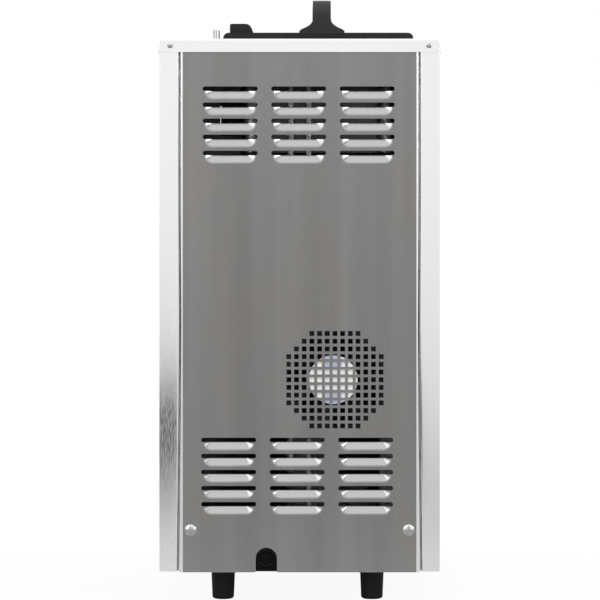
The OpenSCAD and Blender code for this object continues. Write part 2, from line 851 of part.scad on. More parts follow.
// A moulded lid, hollow underneath, whose wall reaches down round the hopper's rim
module hopper_lid() {
    drop = gasket_t + hopper_t - clear;
    color([0.13, 0.13, 0.13]) translate([hopper_x, hopper_mid_y, lid_z]) difference() {
        union() {
            intersection() {
                translate([0, lid_l / 2, 0]) rotate([90, 0, 0]) linear_extrude(lid_l) lid_profile();
                linear_extrude(lid_t) round_rect(lid_w, lid_l, 12);
            }
            translate([0, 0, -drop]) linear_extrude(drop + 2) round_rect(lid_w, lid_l, 12);
        }
        translate([0, 0, -drop - past]) linear_extrude(drop + past)
            round_rect(lid_w - 2 * lid_wall, lid_l - 2 * lid_wall, 12 - lid_wall);
        translate([0, 0, -past]) linear_extrude(lid_t - lid_wall + past)
            round_rect(hopper_w - 2, hopper_l - 2, hopper_r);
    }
}

// An arch that runs from front to back, with flared feet
module lid_handle() {
    half = handle_l / 2;
    corner = 20;
    inner = 9;
    edge = 4;
    gap_l = handle_l - 2 * (handle_bar + 8);
    gap_h = handle_h - handle_bar;
    flare_w = (handle_foot_w - handle_w) / 2;
    flare = [for (t = [0:1 / 6:1])
        [handle_w / 2 + flare_w * pow(t, 1.5), handle_pad + handle_flare * (1 - t)]];
    color([0.2, 0.2, 0.2]) translate([hopper_x + handle_off, hopper_mid_y, lid_top]) intersection() {
        wall_yz(-handle_foot_w / 2, handle_foot_w) difference() {
            union() {
                translate([-half, 0]) square([handle_l, handle_h - corner]);
                translate([-half + corner, 0]) square([handle_l - 2 * corner, handle_h]);
                for (s = [-1, 1]) translate([s * (half - corner), handle_h - corner]) circle(r = corner);
            }
            translate([-gap_l / 2, -past]) square([gap_l, gap_h - inner + past]);
            translate([-gap_l / 2 + inner, 0]) square([gap_l - 2 * inner, gap_h]);
            for (s = [-1, 1]) translate([s * (gap_l / 2 - inner), gap_h - inner]) circle(r = inner);
        }
        wall_xz(half, handle_l) {
            polygon(concat([[0, 0], [handle_foot_w / 2, 0]], [for (i = [6:-1:0]) flare[i]],
                [for (i = [0:6]) [-flare[i][0], flare[i][1]]], [[-handle_foot_w / 2, 0]]));
            translate([-handle_w / 2, handle_pad]) square([handle_w, handle_h - handle_pad - edge]);
            translate([-handle_w / 2 + edge, handle_pad])
                square([handle_w - 2 * edge, handle_h - handle_pad]);
            for (s = [-1, 1]) translate([s * (handle_w / 2 - edge), handle_h - edge]) circle(r = edge);
        }
    }
}

// The sloped block at the back of the lid's bevelled end
module lid_catch_block() {
    x1 = hopper_x + lid_w / 2 - lid_bevel;
    color([0.15, 0.15, 0.15]) wall_xz(pin_y, catch_l) translate([x1, lid_top]) polygon([
        [0, 0], [-1, catch_h], [-catch_w * 0.82, catch_h], [-catch_w, 0]
    ]);
}

// The steel pin on the cover, beside the lid
module cover_pin() {
    color("lightgray") translate([pin_x, pin_y, top_z]) {
        cylinder(r = 5, h = 2);
        cylinder(r = 4, h = pin_h - 1);
        translate([0, 0, pin_h - 1]) cylinder(r1 = 4, r2 = 3, h = 1);
        translate([0, 0, -8]) cylinder(r = 2, h = 9);
    }
}

// The tube that lets mix and air down into the cylinder
module feed_tube() {
    r = feed_r - run_gap;
    z0 = hopper_floor - feed_drop;
    color([0.85, 0.85, 0.82]) translate([0, feed_y, 0]) difference() {
        union() {
            translate([0, 0, z0]) cylinder(r = r, h = feed_drop + 3);
            translate([0, 0, hopper_floor]) cylinder(r = r + 4, h = 4);
            translate([0, 0, hopper_floor]) cylinder(r = 9, h = feed_l);
        }
        translate([0, 0, z0 - past]) cylinder(r = 6, h = feed_l + 20);
        translate([0, 0, hopper_floor + 9]) rotate([0, 90, 0]) cylinder(r = 3, h = 40, center = true);
    }
}

// ---- Freezing cylinder ----

module at_barrel() {
    translate([0, 0, barrel_z]) children();
}

// Places of the four studs that hold the dispensing door
module stud_places() {
    for (x = [-1, 1], z = [-1, 1]) translate([x * stud_x, 0, z * stud_z]) children();
}

// A steel tube with a plate and studs in front, a closed back and an inlet on top
module freezing_cylinder() {
    color("silver") difference() {
        union() {
            at_barrel() {
                bar_y(barrel_out, flange_y, barrel_back);
                translate([0, front_y, 0]) rotate([90, 0, 0]) linear_extrude(flange_t)
                    round_rect(door_w, door_h, 12);
                stud_places() bar_y(4, door_y - 12, front_y);
                bar_y(18, barrel_back - past, barrel_back + 4);
            }
            translate([0, feed_y, barrel_z]) cylinder(r = feed_r + 3, h = hopper_floor - hopper_t - barrel_z);
        }
        at_barrel() bar_y(barrel_r, flange_y - past, barrel_back - 4);
        at_barrel() bar_y(beater_shaft_r + clear, barrel_back - 5, barrel_back + 5);
        translate([0, feed_y, barrel_z]) cylinder(r = feed_r, h = barrel_drop);
    }
}

// The cooling tube's turns, soldered to a thin sleeve round the cylinder
module evaporator_coil() {
    l = evap_y1 - evap_y0;
    pitch = 2 * evap_r + 1.5;
    turns = floor((l - 2 * evap_r) / pitch);
    color("peru") difference() {
        translate([0, evap_y0, barrel_z]) turned_y() {
            translate([barrel_out, 0]) square([1, l]);
            for (i = [0:turns]) translate([barrel_out + evap_r + 0.5, evap_r + i * pitch])
                circle(r = evap_r);
        }
        translate([0, feed_y, barrel_z]) cylinder(r = feed_r + 3 + clear, h = 2 * foam_half);
    }
}

// A block of foam round the coil, which stands on the deck
module barrel_insulation() {
    color("khaki") difference() {
        slab([-foam_half, front_y + 16, deck_z], [foam_half, evap_y1 + 8, barrel_z + foam_half]);
        at_barrel() bar_y(foam_r, evap_y0 - clear, evap_y1 + clear);
        at_barrel() bar_y(barrel_out + clear, front_y, evap_y1 + 20);
        translate([0, feed_y, barrel_z]) cylinder(r = feed_r + 3 + clear, h = 2 * foam_half);
    }
}

// The auger: a shaft with two screw flights of one and a half turns
module beater() {
    core_r = 12;
    flight_w = 5;
    l = beater_y1 - beater_y0;
    color("gainsboro") at_barrel() {
        bar_y(core_r, beater_y0, beater_y1);
        bar_y(beater_shaft_r, beater_y1 - past, gear_y0 + 40);
        translate([0, beater_y0 + 4, 0]) rotate([-90, 0, 0])
            linear_extrude(l - 8, twist = 540, slices = 60, $fn = 8)
                for (s = [0, 180]) rotate(s) translate([core_r - 2, -flight_w / 2])
                    square([screw_r - core_r + 2, flight_w]);
    }
}

// Two plastic blades that wipe the cylinder's wall
module scraper_blades() {
    l = beater_y1 - beater_y0 - 12;
    color("white") at_barrel() for (s = [0, 180]) rotate([0, s, 0]) intersection() {
        slab([0, beater_y0 + 6, -5], [blade_r, beater_y0 + 6 + l, 5]);
        difference() {
            bar_y(blade_r, beater_y0, beater_y1);
            bar_y(screw_r, beater_y0 - past, beater_y1 + past);
        }
    }
}

// The rubber seal round the shaft, against the cylinder's back
module shaft_seal() {
    color([0.75, 0.3, 0.2]) at_barrel() difference() {
        union() {
            bar_y(16, barrel_back + 4, gear_y0);
            bar_y(20, barrel_back + 4, barrel_back + 6);
        }
        bar_y(beater_shaft_r + run_gap, barrel_back, gear_y0 + past);
    }
}

// ---- Drive ----

// A cast box with ribs and feet, bored for the beater and for the pulley's shaft
module gearbox() {
    half = 46;
    color("slategray") difference() {
        union() {
            slab([-half, gear_y0, deck_z + 10], [half, gear_y1, barrel_z + half]);
            slab([-half - 14, gear_y0 + 6, deck_z], [half + 14, gear_y1 - 6, deck_z + 10]);
            both_sides() for (i = [1:3])
                slab([half - past, gear_y0 + i * gear_d / 4 - 2, deck_z],
                    [half + 6, gear_y0 + i * gear_d / 4 + 2, barrel_z + half - 10]);
            at_barrel() bar_y(26, gear_y1 - past, gear_y1 + 5);
        }
        at_barrel() bar_y(beater_shaft_r + run_gap, gear_y0 - past, gear_y0 + 41);
        at_barrel() bar_y(pulley_shaft_r + run_gap, gear_y1 - pulley_shaft_in - past, gear_y1 + 6);
    }
}

// A grooved wheel on its shaft, from y0, whose shaft reaches back to shaft_y
module pulley(r, y0, shaft_y) {
    rim = 3;
    w = pulley_w;
    translate([0, y0, 0]) turned_y() difference() {
        union() {
            translate([r - groove - rim, 0]) square([groove + rim, w]);
            translate([0, w / 2 - 3]) square([r - groove, 6]);
            square([pulley_shaft_r + 8, w]);
        }
        polygon([
            [r - groove + 1.5, w / 2 - belt_w / 2 - clear], [r + past, w / 2 - belt_w / 2 - clear - 1.5],
            [r + past, w / 2 + belt_w / 2 + clear + 1.5], [r - groove + 1.5, w / 2 + belt_w / 2 + clear]
        ]);
    }
    bar_y(pulley_shaft_r, shaft_y, y0 + past);
}

module driven_pulley() {
    color("dimgray") at_barrel() pulley(pulley_r, pulley_y0, gear_y1 - pulley_shaft_in);
}

module motor_pulley() {
    color("dimgray") translate([motor_x, 0, motor_z])
        pulley(motor_pulley_r, pulley_y0, motor_y1 - motor_shaft_in);
}

// Points on an arc about a centre, from one angle to another
function arc_points(c, r, a, b, n) =
    [for (i = [0:n]) c + r * [cos(a + (b - a) * i / n), sin(a + (b - a) * i / n)]];

// The outline of a belt round two circles, in X and Z
module belt_outline(r1, r2) {
    to_motor = [motor_x, motor_z - barrel_z];
    lean = acos((r1 - r2) / norm(to_motor));
    way = atan2(to_motor[1], to_motor[0]);
    translate([0, barrel_z]) polygon(concat(
        arc_points([0, 0], r1, way + lean, way + 360 - lean, 36),
        arc_points(to_motor, r2, way - lean, way + lean, 24)
    ));
}

// The belt runs in the grooves, a hair clear of their floors
module drive_belt() {
    low = clear - groove + 1.5;
    color([0.1, 0.1, 0.1]) wall_xz(belt_mid + belt_w / 2, belt_w) difference() {
        belt_outline(pulley_r + low + belt_t, motor_pulley_r + low + belt_t);
        belt_outline(pulley_r + low, motor_pulley_r + low);
    }
}

// A ribbed motor with end bells and a terminal box
module beater_motor() {
    bell = 22;
    color("lightslategray") translate([motor_x, 0, motor_z]) difference() {
        union() {
            bar_y(motor_r - 3, motor_y0 + bell, motor_y1 - bell);
            for (i = [0:6]) translate([0, motor_y0 + bell + 14 + i * (motor_l - 2 * bell - 31) / 6, 0])
                bar_y(motor_r, 0, 3);
            bar_y(motor_r, motor_y0 + 6, motor_y0 + bell);
            bar_y(motor_r - 10, motor_y0, motor_y0 + 6);
            bar_y(motor_r, motor_y1 - bell, motor_y1 - 6);
            bar_y(motor_r - 18, motor_y1 - 6, motor_y1);
            slab([-motor_r - 18, motor_y0 + 45, -20], [-motor_r + 12, motor_y0 + 105, 20]);
        }
        bar_y(pulley_shaft_r + run_gap, motor_y1 - motor_shaft_in - past, motor_y1 + past);
    }
}

// Two hanging plates with a saddle that carry the motor under the deck
module motor_bracket() {
    top = deck_z - sheet_t;
    low = motor_z - 10;
    w = motor_r + 8;
    color("silver") for (y = [motor_y0 + 28, motor_y1 - 32])
        translate([motor_x, y + 4, 0]) rotate([90, 0, 0]) linear_extrude(4) difference() {
            translate([-w, low]) square([2 * w, top - low]);
            translate([0, motor_z]) circle(r = motor_r - 3);
            translate([-w - past, low - past]) square([30, motor_r]);
        }
}

// ---- Refrigeration ----

// A domed steel shell on a plate, with two stubs and a terminal cover
module compressor() {
    foot_z = floor_z + 12;
    dome = 22;
    z1 = foot_z + comp_h;
    color([0.1, 0.1, 0.1]) translate([comp_x, comp_y, 0]) {
        rotate_extrude() {
            translate([0, foot_z + 4]) square([comp_r, comp_h - 4 - dome]);
            translate([0, z1 - dome]) square([comp_r - dome, dome]);
            intersection() {
                translate([comp_r - dome, z1 - dome]) circle(r = dome);
                translate([comp_r - dome, z1 - dome]) square(dome);
            }
        }
        translate([0, 0, foot_z]) linear_extrude(4) difference() {
            round_rect(2 * comp_r + 8, 2 * comp_r + 8, 16);
            for (x = [-1, 1], y = [-1, 1]) translate([x, y] * (comp_r - 8)) circle(r = 7 + clear);
        }
        translate([0, 0, comp_port_z]) bar_y(pipe_r + 2, comp_r - 6, comp_r + 14);
        slab([-26, -comp_r - 12, foot_z + 60], [26, -comp_r + 10, foot_z + 110]);
    }
}

module compressor_grommets() {
    color([0.15, 0.15, 0.15]) for (x = [-1, 1], y = [-1, 1])
        translate([comp_x + x * (comp_r - 8), comp_y + y * (comp_r - 8), floor_z]) {
            cylinder(r = 11, h = 12);
            cylinder(r = 7, h = 18);
        }
}

// Fins on eight tubes whose ends are joined by return bends
module condenser_core() {
    tube_r = 4.5;
    rows = 4;
    step = cond_h / rows;
    x_mid = (cond_x0 + cond_x1) / 2;
    fin_dy = (cond_l - 2) / (cond_fins - 1);
    color("silver") {
        for (i = [0:cond_fins - 1])
            slab([cond_x0, cond_y0 + i * fin_dy, floor_z],
                [cond_x1, cond_y0 + i * fin_dy + 2, floor_z + cond_h]);
        for (k = [0:rows - 1], s = [-1, 1])
            translate([x_mid + s * cond_t / 4, 0, floor_z + (k + 0.5) * step])
                bar_y(tube_r, cond_y0 - 6, cond_y1 + 6);
        for (k = [0:rows - 1], end = [0, 1])
            translate([x_mid, end > 0 ? cond_y1 + 6 : cond_y0 - 6, floor_z + (k + 0.5) * step])
                rotate([0, 0, end > 0 ? 0 : 180]) rotate_extrude(angle = 180)
                    translate([cond_t / 4, 0]) circle(r = tube_r);
    }
}

// A sheet box that leads the air from the fins to the fan
module condenser_shroud() {
    x = shroud_x1 - shroud_t;
    color("darkgray") difference() {
        slab([cond_x1, cond_y0, floor_z], [shroud_x1, cond_y1, floor_z + cond_h]);
        slab([cond_x1 - past, cond_y0 + shroud_t, floor_z + shroud_t],
            [x, cond_y1 - shroud_t, floor_z + cond_h - shroud_t]);
        translate([0, cond_mid_y, cond_mid_z]) bar_x(cond_fan_r + 3, x - past, shroud_x1 + past);
    }
}

// The fan's motor on three arms that reach the shroud
module condenser_fan_motor() {
    r = 34;
    end = cond_motor_x + 44;
    cap_r = 12;
    cap_l = 6;
    arm_w = 10;
    color("dimgray") translate([0, cond_mid_y, cond_mid_z]) difference() {
        union() {
            bar_x(r, cond_motor_x, end);
            bar_x(cap_r, end - past, end + cap_l);
            for (a = [90, 210, 330]) rotate([a, 0, 0])
                slab([shroud_x1, r - cap_r, -arm_w / 2], [cond_motor_x + 6, cond_fan_r + 8, arm_w / 2]);
        }
        bar_x(5 + run_gap, cond_motor_x - 20, cond_motor_x + 20);
    }
}

// Pitched blades round a hub, turned about X
module condenser_fan_blade() {
    hub = 20;
    depth = 12;
    color("silver") translate([cond_fan_x, cond_mid_y, cond_mid_z]) {
        bar_x(hub, 0, depth + 1);
        bar_x(5, depth, cond_motor_x + 18 - cond_fan_x);
        for (i = [0:cond_blades - 1]) rotate([i * 360 / cond_blades, 0, 0]) intersection() {
            translate([depth / 2, 0, 0]) rotate([0, 28, 0])
                slab([-0.8, hub - 4, -26], [0.8, 2 * cond_fan_r, 26]);
            bar_x(cond_fan_r, 0, depth);
            rotate([90, 0, 90]) linear_extrude(depth) polygon([
                [hub - 6, -9], [cond_fan_r, -22], [cond_fan_r + 9, 12], [hub - 6, 9]
            ]);
        }
    }
}

// Two pipes that rise behind the hopper, one from the compressor, one from the condenser
module refrigerant_pipes() {
    y = rear_y - pipe_in;
    z_hopper = hopper_floor + 95;
    hopper_y = hopper_rear + hopper_t;
    a = comp_port_z;
    b = floor_z + cond_h / 8;
    near = hopper_rear - 120;
    x_mid = (cond_x0 + cond_x1) / 2 + cond_t / 4;
    color("darkgray") {
        pipe_run([
            [pipe_x0, hopper_y, z_hopper], [pipe_x0, y, z_hopper], [pipe_x0, y, a],
            [pipe_x0, near, a], [comp_x, near, a], [comp_x, comp_y + comp_r + 14, a]
        ], pipe_r, bend_r);
        pipe_run([
            [pipe_x1, hopper_y, z_hopper], [pipe_x1, y, z_hopper], [pipe_x1, y, b],
            [pipe_x1, cond_y1 + 60, b], [x_mid, cond_y1 + 60, b],
            [x_mid, cond_y1 + 7 + cond_t / 4 + 4.5, b]
        ], pipe_r, bend_r);
    }
}

// ---- Rear fan ----

// A square frame with a round duct, and a hub held on three struts behind the vent
module rear_fan_frame() {
    hole = 105 / 2;
    color([0.16, 0.16, 0.17]) translate([fan_x, 0, fan_z]) difference() {
        union() {
            difference() {
                wall_xz(fan_back, fan_d) round_rect(fan_w, fan_w, 8);
                bar_y(duct_r, fan_front - past, fan_back + past);
            }
            bar_y(hub_d / 2, fan_back - 14, fan_back - 2);
            for (a = [35, 155, 275]) rotate([0, -a, 0])
                slab([hub_d / 2 - 3, fan_back - 8, -3], [duct_r + 2, fan_back - 3, 3]);
        }
        for (x = [-1, 1], z = [-1, 1]) translate([x * hole, 0, z * hole])
            bar_y(2.2, fan_front - past, fan_back + past);
        bar_y(fan_shaft_d / 2 + run_gap, fan_back - 15, fan_back - 4);
    }
}

// Curved blades round a hub, turned about Y
module rear_fan_rotor() {
    r = duct_r - 1.5;
    y0 = fan_front + 3;
    y1 = fan_back - 16;
    color([0.15, 0.15, 0.15]) translate([fan_x, 0, fan_z]) {
        bar_y(hub_d / 2 - 1, y0, y1);
        bar_y(fan_shaft_d / 2, y1 - past, fan_back - 5);
        for (i = [0:fan_blades - 1]) rotate([0, i * 360 / fan_blades, 0]) intersection() {
            translate([0, (y0 + y1) / 2, 0]) rotate([38, 0, 0])
                slab([hub_d / 2 - 4, -1, -24], [2 * r, 1, 24]);
            bar_y(r, y0 + 1, y1 - 1);
        }
    }
}

// ---- Dispensing head ----

// A plastic block that closes the cylinder, with the draw valve's boss in front
module dispense_door() {
    ear_w = 8;
    ear_x = 9;
    color([0.9, 0.9, 0.88]) difference() {
        union() {
            at_barrel() {
                wall_xz(door_y + door_t, door_t) round_rect(door_w, door_h, 14);
                bar_y(barrel_r - clear, flange_y - past, front_y + 6);
            }
            translate([0, draw_y, boss_low]) cylinder(r = boss_r, h = boss_top - boss_low);
            slab([-boss_r, draw_y, boss_low + 10], [boss_r, door_y + past, boss_top]);
            both_sides() {
                slab([ear_x, pivot_y - 10, barrel_z + 8], [ear_x + ear_w, draw_y - piston_r - 1, pivot_z]);
                translate([0, pivot_y, pivot_z]) bar_x(nose_arm - piston_r - 1, ear_x, ear_x + ear_w);
            }
        }
        translate([0, draw_y, boss_low - past]) cylinder(r = bore_r, h = boss_top - boss_low + 2 * past);
        translate([0, 0, passage_z]) bar_y(passage_r, draw_y, front_y + 7);
        at_barrel() bar_y(28, front_y - 6, front_y + 7);
        at_barrel() stud_places() bar_y(4 + clear, door_y - past, flange_y + past);
        translate([0, pivot_y, pivot_z]) bar_x(pin_r, -cab_w / 4, cab_w / 4);
        at_barrel() rotate([-90, 0, 0]) translate([0, 0, front_y + 1]) rotate_extrude()
            translate([barrel_r - 3, 0]) square([4, 3]);
    }
}

// The rubber ring in the door's groove
module door_gasket() {
    color([0.2, 0.2, 0.2]) at_barrel() translate([0, front_y + 1, 0]) turned_y()
        translate([barrel_r - 3 + run_gap, 0.1]) square([3 - clear / 2, 2.8]);
}

// Four lobed nuts on the studs
module door_knobs() {
    h = 16;
    lobe_r = knob_d / 5;
    color([0.1, 0.1, 0.1]) at_barrel() stud_places() translate([0, door_y, 0]) rotate([90, 0, 0])
        difference() {
            union() {
                cylinder(r = knob_d / 2 - lobe_r * 0.7, h = h);
                for (i = [0:knob_lobes - 1]) rotate(i * 360 / knob_lobes)
                    translate([knob_d / 2 - lobe_r, 0, 0]) cylinder(r = lobe_r, h = h - 2);
            }
            translate([0, 0, -past]) cylinder(r = 4 + run_gap, h = 13.3 + past);
        }
}

// A plunger with two ring grooves and a flared slot for the lever's nose
module draw_piston() {
    low = passage_z - 22;
    groove_r = piston_r - 2.1;
    pocket = nose_r + 0.8;
    face = piston_r + 1;
    reach = face * tan(lever_swing / 2) + pocket;
    color("white") difference() {
        translate([0, draw_y, low]) cylinder(r = piston_r, h = nose_z + 14 - low);
        for (z = ring_places) translate([0, draw_y, z]) rotate_extrude()
            translate([groove_r, -1.4]) square([4, 2.8]);
        wall_yz(-4.5, 9) {
            translate([nose_y, nose_z]) circle(r = pocket);
            translate([draw_y, nose_z]) circle(r = pocket);
            translate([nose_y, nose_z - pocket]) square([draw_y - nose_y, 2 * pocket]);
            polygon([
                [draw_y + 1, nose_z - pocket], [draw_y + 1, nose_z + pocket],
                [draw_y - face, nose_z + reach], [draw_y - face, nose_z - reach]
            ]);
        }
    }
}

module piston_o_rings() {
    color([0.6, 0.1, 0.1]) for (z = ring_places) translate([0, draw_y, z]) rotate_extrude()
        translate([piston_r - 1.05, 0]) circle(r = 1);
}

// A lever whose short arm ends in a round nose, and whose long arm carries the grip
module draw_lever() {
    up = 90 - lever_rest;
    color("silver") translate([0, pivot_y, pivot_z]) difference() {
        union() {
            bar_x(8, -8.7, 8.7);
            rotate([-lever_swing / 2, 0, 0]) {
                slab([-4, 0, -3], [4, nose_arm, 3]);
                translate([0, nose_arm, 0]) bar_x(nose_r, -4, 4);
            }
            rotate([up, 0, 0]) slab([-6, -4, 0], [6, 4, lever_l]);
        }
        bar_x(pin_r, -20, 20);
    }
}

// The steel pin through the ears and the lever
module lever_pin() {
    r = pin_r - run_gap;
    color("lightgray") translate([0, pivot_y, pivot_z]) {
        bar_x(r, -19, 19);
        bar_x(r + 2, -20.5, -17 - clear);
        bar_x(r + 2, 17 + clear, 20.5);
    }
}

// The round grip, bored flat for the lever's end
module lever_grip() {
    up = 90 - lever_rest;
    h = 44;
    r = 12;
    color([0.08, 0.08, 0.08]) translate([0, pivot_y, pivot_z]) rotate([up, 0, 0])
        difference() {
            translate([0, 0, lever_l - 26]) rotate_extrude() {
                square([r - 3, h]);
                translate([0, 3]) square([r, h - 12]);
                intersection() {
                    translate([r - 9, h - 9]) circle(r = 9);
                    translate([0, h - 9]) square([r, 9]);
                }
            }
            slab([-6 - run_gap, -4 - run_gap, 0], [6 + run_gap, 4 + run_gap, lever_l + run_gap]);
        }
}

// A cap under the boss with a star-shaped hole
module star_nozzle() {
    r = boss_r;
    color([0.9, 0.9, 0.88]) translate([0, draw_y, boss_low - 20]) difference() {
        union() {
            translate([0, 0, 12]) cylinder(r = r, h = 8);
            cylinder(r = 15, h = 14);
        }
        translate([0, 0, 8]) cylinder(r = piston_r - 2, h = 12 + past);
        translate([0, 0, -past]) linear_extrude(12) polygon([
            for (i = [0:2 * star_points - 1])
                (i % 2 == 0 ? 10 : 5) * [cos(i * 180 / star_points), sin(i * 180 / star_points)]
        ]);
    }
}

// ---- Drip tray ----

// A shelf with a turned-up back that the tray slides on
module tray_bracket() {
    w = tray_w - 30;
    color("silver") {
        slab([-w / 2, tray_front + 14, tray_z - 1.5], [w / 2, front_y, tray_z]);
        slab([-w / 2, front_y - 1.5, tray_z - 14], [w / 2, front_y, tray_top - 6]);
    }
}

// An open tray with a step inside its rim for the grid
module drip_tray() {
    l = tray_back - tray_front;
    color("silver") translate([0, (tray_front + tray_back) / 2, 0]) difference() {
        translate([0, 0, tray_z]) linear_extrude(tray_h) round_rect(tray_w, l, 10);
        translate([0, 0, tray_z + tray_t]) linear_extrude(tray_h)
            round_rect(tray_w - 2 * ledge_t, l - 2 * ledge_t, 8);
        translate([0, 0, grid_z]) linear_extrude(tray_h)
            round_rect(tray_w - 2 * tray_t, l - 2 * tray_t, 8);
    }
}

// A plate with rows of slots that sits on the tray's step
module drip_tray_grid() {
    l = tray_back - tray_front - 2 * tray_t - 2 * drop_gap;
    w = tray_w - 2 * tray_t - 2 * drop_gap;
    slot = 22;
    cols = floor((w - 20) / (slot + 6));
    rows = floor((l - 16) / 9);
    color("gainsboro") translate([0, (tray_front + tray_back) / 2, grid_z]) linear_extrude(grid_t)
        difference() {
            round_rect(w, l, 7);
            for (i = [0:cols - 1], k = [0:rows - 1])
                translate([(i - (cols - 1) / 2) * (slot + 6), (k - (rows - 1) / 2) * 9]) slot_2d(slot, 4);
        }
}

// ---- Controls ----

// A black plate with holes for its buttons, and standoffs behind for the board
module control_panel() {
    post_x = window_w / 2 - 8;
    post_z = window_h / 2 - 6;
    color([0.06, 0.06, 0.07]) translate([0, 0, ctrl_z]) {
        wall_xz(front_y, ctrl_t) difference() {
            round_rect(ctrl_w, ctrl_h, 8);
            translate([display_x, 0]) square([display_w - 6, display_h - 6], center = true);
            for (i = [0:2]) translate([button_x0 + i * button_dx, 0]) circle(d = button_d + 2 * clear);
            translate([rocker_x, 0]) square([14, 24], center = true);
        }
        for (x = [-1, 1], z = [-1, 1]) translate([x * post_x, 0, z * post_z])
            bar_y(3, front_y - past, board_y);
    }
}

// A clear window set in a step on the panel's face
module display_window() {
    color([0.1, 0.15, 0.2]) translate([display_x, 0, ctrl_z])
        wall_xz(ctrl_face, 1) round_rect(display_w, display_h, 3);
}

// A round button with a collar behind the panel and a stem to the board
module button(i) {
    color([0.75, 0.75, 0.77]) translate([button_x0 + i * button_dx, 0, ctrl_z]) {
        bar_y(button_d / 2, ctrl_face - 2.5, front_y + past);
        bar_y(button_d / 2 + 2, front_y, front_y + 1.5);
        bar_y(2, front_y + 1, board_y - button_travel - 1);
    }
}

module button_auto() {
    button(0);
}

module button_wash() {
    button(1);
}

module button_stop() {
    button(2);
}

// A rocker with two faces that meet in a shallow valley, on a pin across its back
module power_rocker() {
    tilt = 8;
    w = 14 - 4 * clear;
    half = 10.5;
    color([0.15, 0.15, 0.15]) translate([rocker_x, front_y + 3, ctrl_z]) rotate([tilt, 0, 0])
        wall_yz(-w / 2, w) difference() {
            union() {
                circle(r = 5);
                polygon([[-9, half - 0.5], [-7.4, 0], [-9, -half + 0.5], [-3, -half], [-3, half]]);
            }
            circle(r = 1.5 + run_gap);
        }
}

// The board behind the panel, with the switches that the buttons press
module control_board() {
    color("darkgreen") translate([0, 0, ctrl_z]) {
        slab([-window_w / 2 + 2, board_y, -window_h / 2 + 1],
            [window_w / 2 - 2, board_y + board_t, window_h / 2 - 1]);
        for (i = [0:2]) translate([button_x0 + i * button_dx - 3, 0, -3])
            slab([0, board_y - 0.6, 0], [6, board_y + past, 6]);
        slab([-window_w / 2 + 20, board_y + past, -18], [-window_w / 2 + 50, board_y + 16, 12]);
        slab([-10, board_y + past, -20], [26, board_y + 12, 4]);
        translate([rocker_x, front_y + 3, 0]) {
            bar_x(1.5, -7, 7);
            both_sides() slab([6.7, -1.5, -4], [8.2, board_y - front_y - 2, 4]);
        }
    }
}

base_pan();
corner_posts();
barrel_deck();
side_panel_left();
side_panel_right();
rear_panel();
front_panel();
top_cover();
feet();
cover_screws();
rear_panel_screws();
cord_gland();
gland_nut();
hopper();
hopper_gasket();
hopper_lid();
lid_handle();
lid_catch_block();
cover_pin();
feed_tube();
freezing_cylinder();
evaporator_coil();
barrel_insulation();
beater();
scraper_blades();
shaft_seal();
gearbox();
driven_pulley();
drive_belt();
motor_pulley();
beater_motor();
motor_bracket();
compressor();
compressor_grommets();
condenser_core();
condenser_shroud();
condenser_fan_motor();
condenser_fan_blade();
refrigerant_pipes();
rear_fan_frame();
rear_fan_rotor();
dispense_door();
door_gasket();
door_knobs();
draw_piston();
piston_o_rings();
draw_lever();
lever_pin();
lever_grip();
star_nozzle();
tray_bracket();
drip_tray();
drip_tray_grid();
control_panel();
display_window();
button_auto();
button_wash();
button_stop();
power_rocker();
control_board();
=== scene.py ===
# %% [markdown]
# # A soft-serve ice cream machine, seen from its louvered back
# The machine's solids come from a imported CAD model, which fixes every size and place. This lesson gives
# each of them its real edges and its real finish, and lights them as a studio would. The frame is loaded
# first, because every piece below takes its place from it.

# %% Load the frame
import json
import math

import bpy
from mathutils import Matrix, Vector

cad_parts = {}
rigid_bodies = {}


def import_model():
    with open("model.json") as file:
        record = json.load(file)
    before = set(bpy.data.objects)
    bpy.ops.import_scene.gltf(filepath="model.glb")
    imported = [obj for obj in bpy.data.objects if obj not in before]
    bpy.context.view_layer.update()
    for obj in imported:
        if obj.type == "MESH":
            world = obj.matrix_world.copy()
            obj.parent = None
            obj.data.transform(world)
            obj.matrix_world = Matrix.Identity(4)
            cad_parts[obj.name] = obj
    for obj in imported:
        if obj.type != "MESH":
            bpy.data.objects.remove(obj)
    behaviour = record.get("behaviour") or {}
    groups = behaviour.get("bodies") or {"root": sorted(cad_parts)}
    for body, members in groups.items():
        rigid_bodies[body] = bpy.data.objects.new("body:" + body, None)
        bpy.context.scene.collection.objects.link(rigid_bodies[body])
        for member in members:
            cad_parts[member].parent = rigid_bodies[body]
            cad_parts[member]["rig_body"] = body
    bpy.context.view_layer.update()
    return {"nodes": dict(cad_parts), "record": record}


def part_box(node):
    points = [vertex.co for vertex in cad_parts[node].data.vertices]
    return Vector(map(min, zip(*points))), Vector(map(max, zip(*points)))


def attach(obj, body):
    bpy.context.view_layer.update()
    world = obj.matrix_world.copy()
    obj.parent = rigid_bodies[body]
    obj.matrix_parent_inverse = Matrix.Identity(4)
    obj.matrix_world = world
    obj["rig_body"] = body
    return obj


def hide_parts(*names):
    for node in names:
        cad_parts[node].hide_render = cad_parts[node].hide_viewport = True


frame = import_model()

MM = 0.001
rear_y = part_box("rear_panel")[1].y

# %% [markdown]
# ## The camera
# A product picture of a tall machine is taken from far away with a long lens, so that its sides stay
# parallel. The camera looks straight at the back, a little above half height. Its focal length follows
# from how wide a strip of the back has to fill the frame.

# %% Camera
CAMERA_DISTANCE = 4.0
CAMERA_HEIGHT = 0.3637
FRAME_WIDTH = 0.7209
SENSOR_WIDTH = 36.0
CAMERA_X = -0.0005

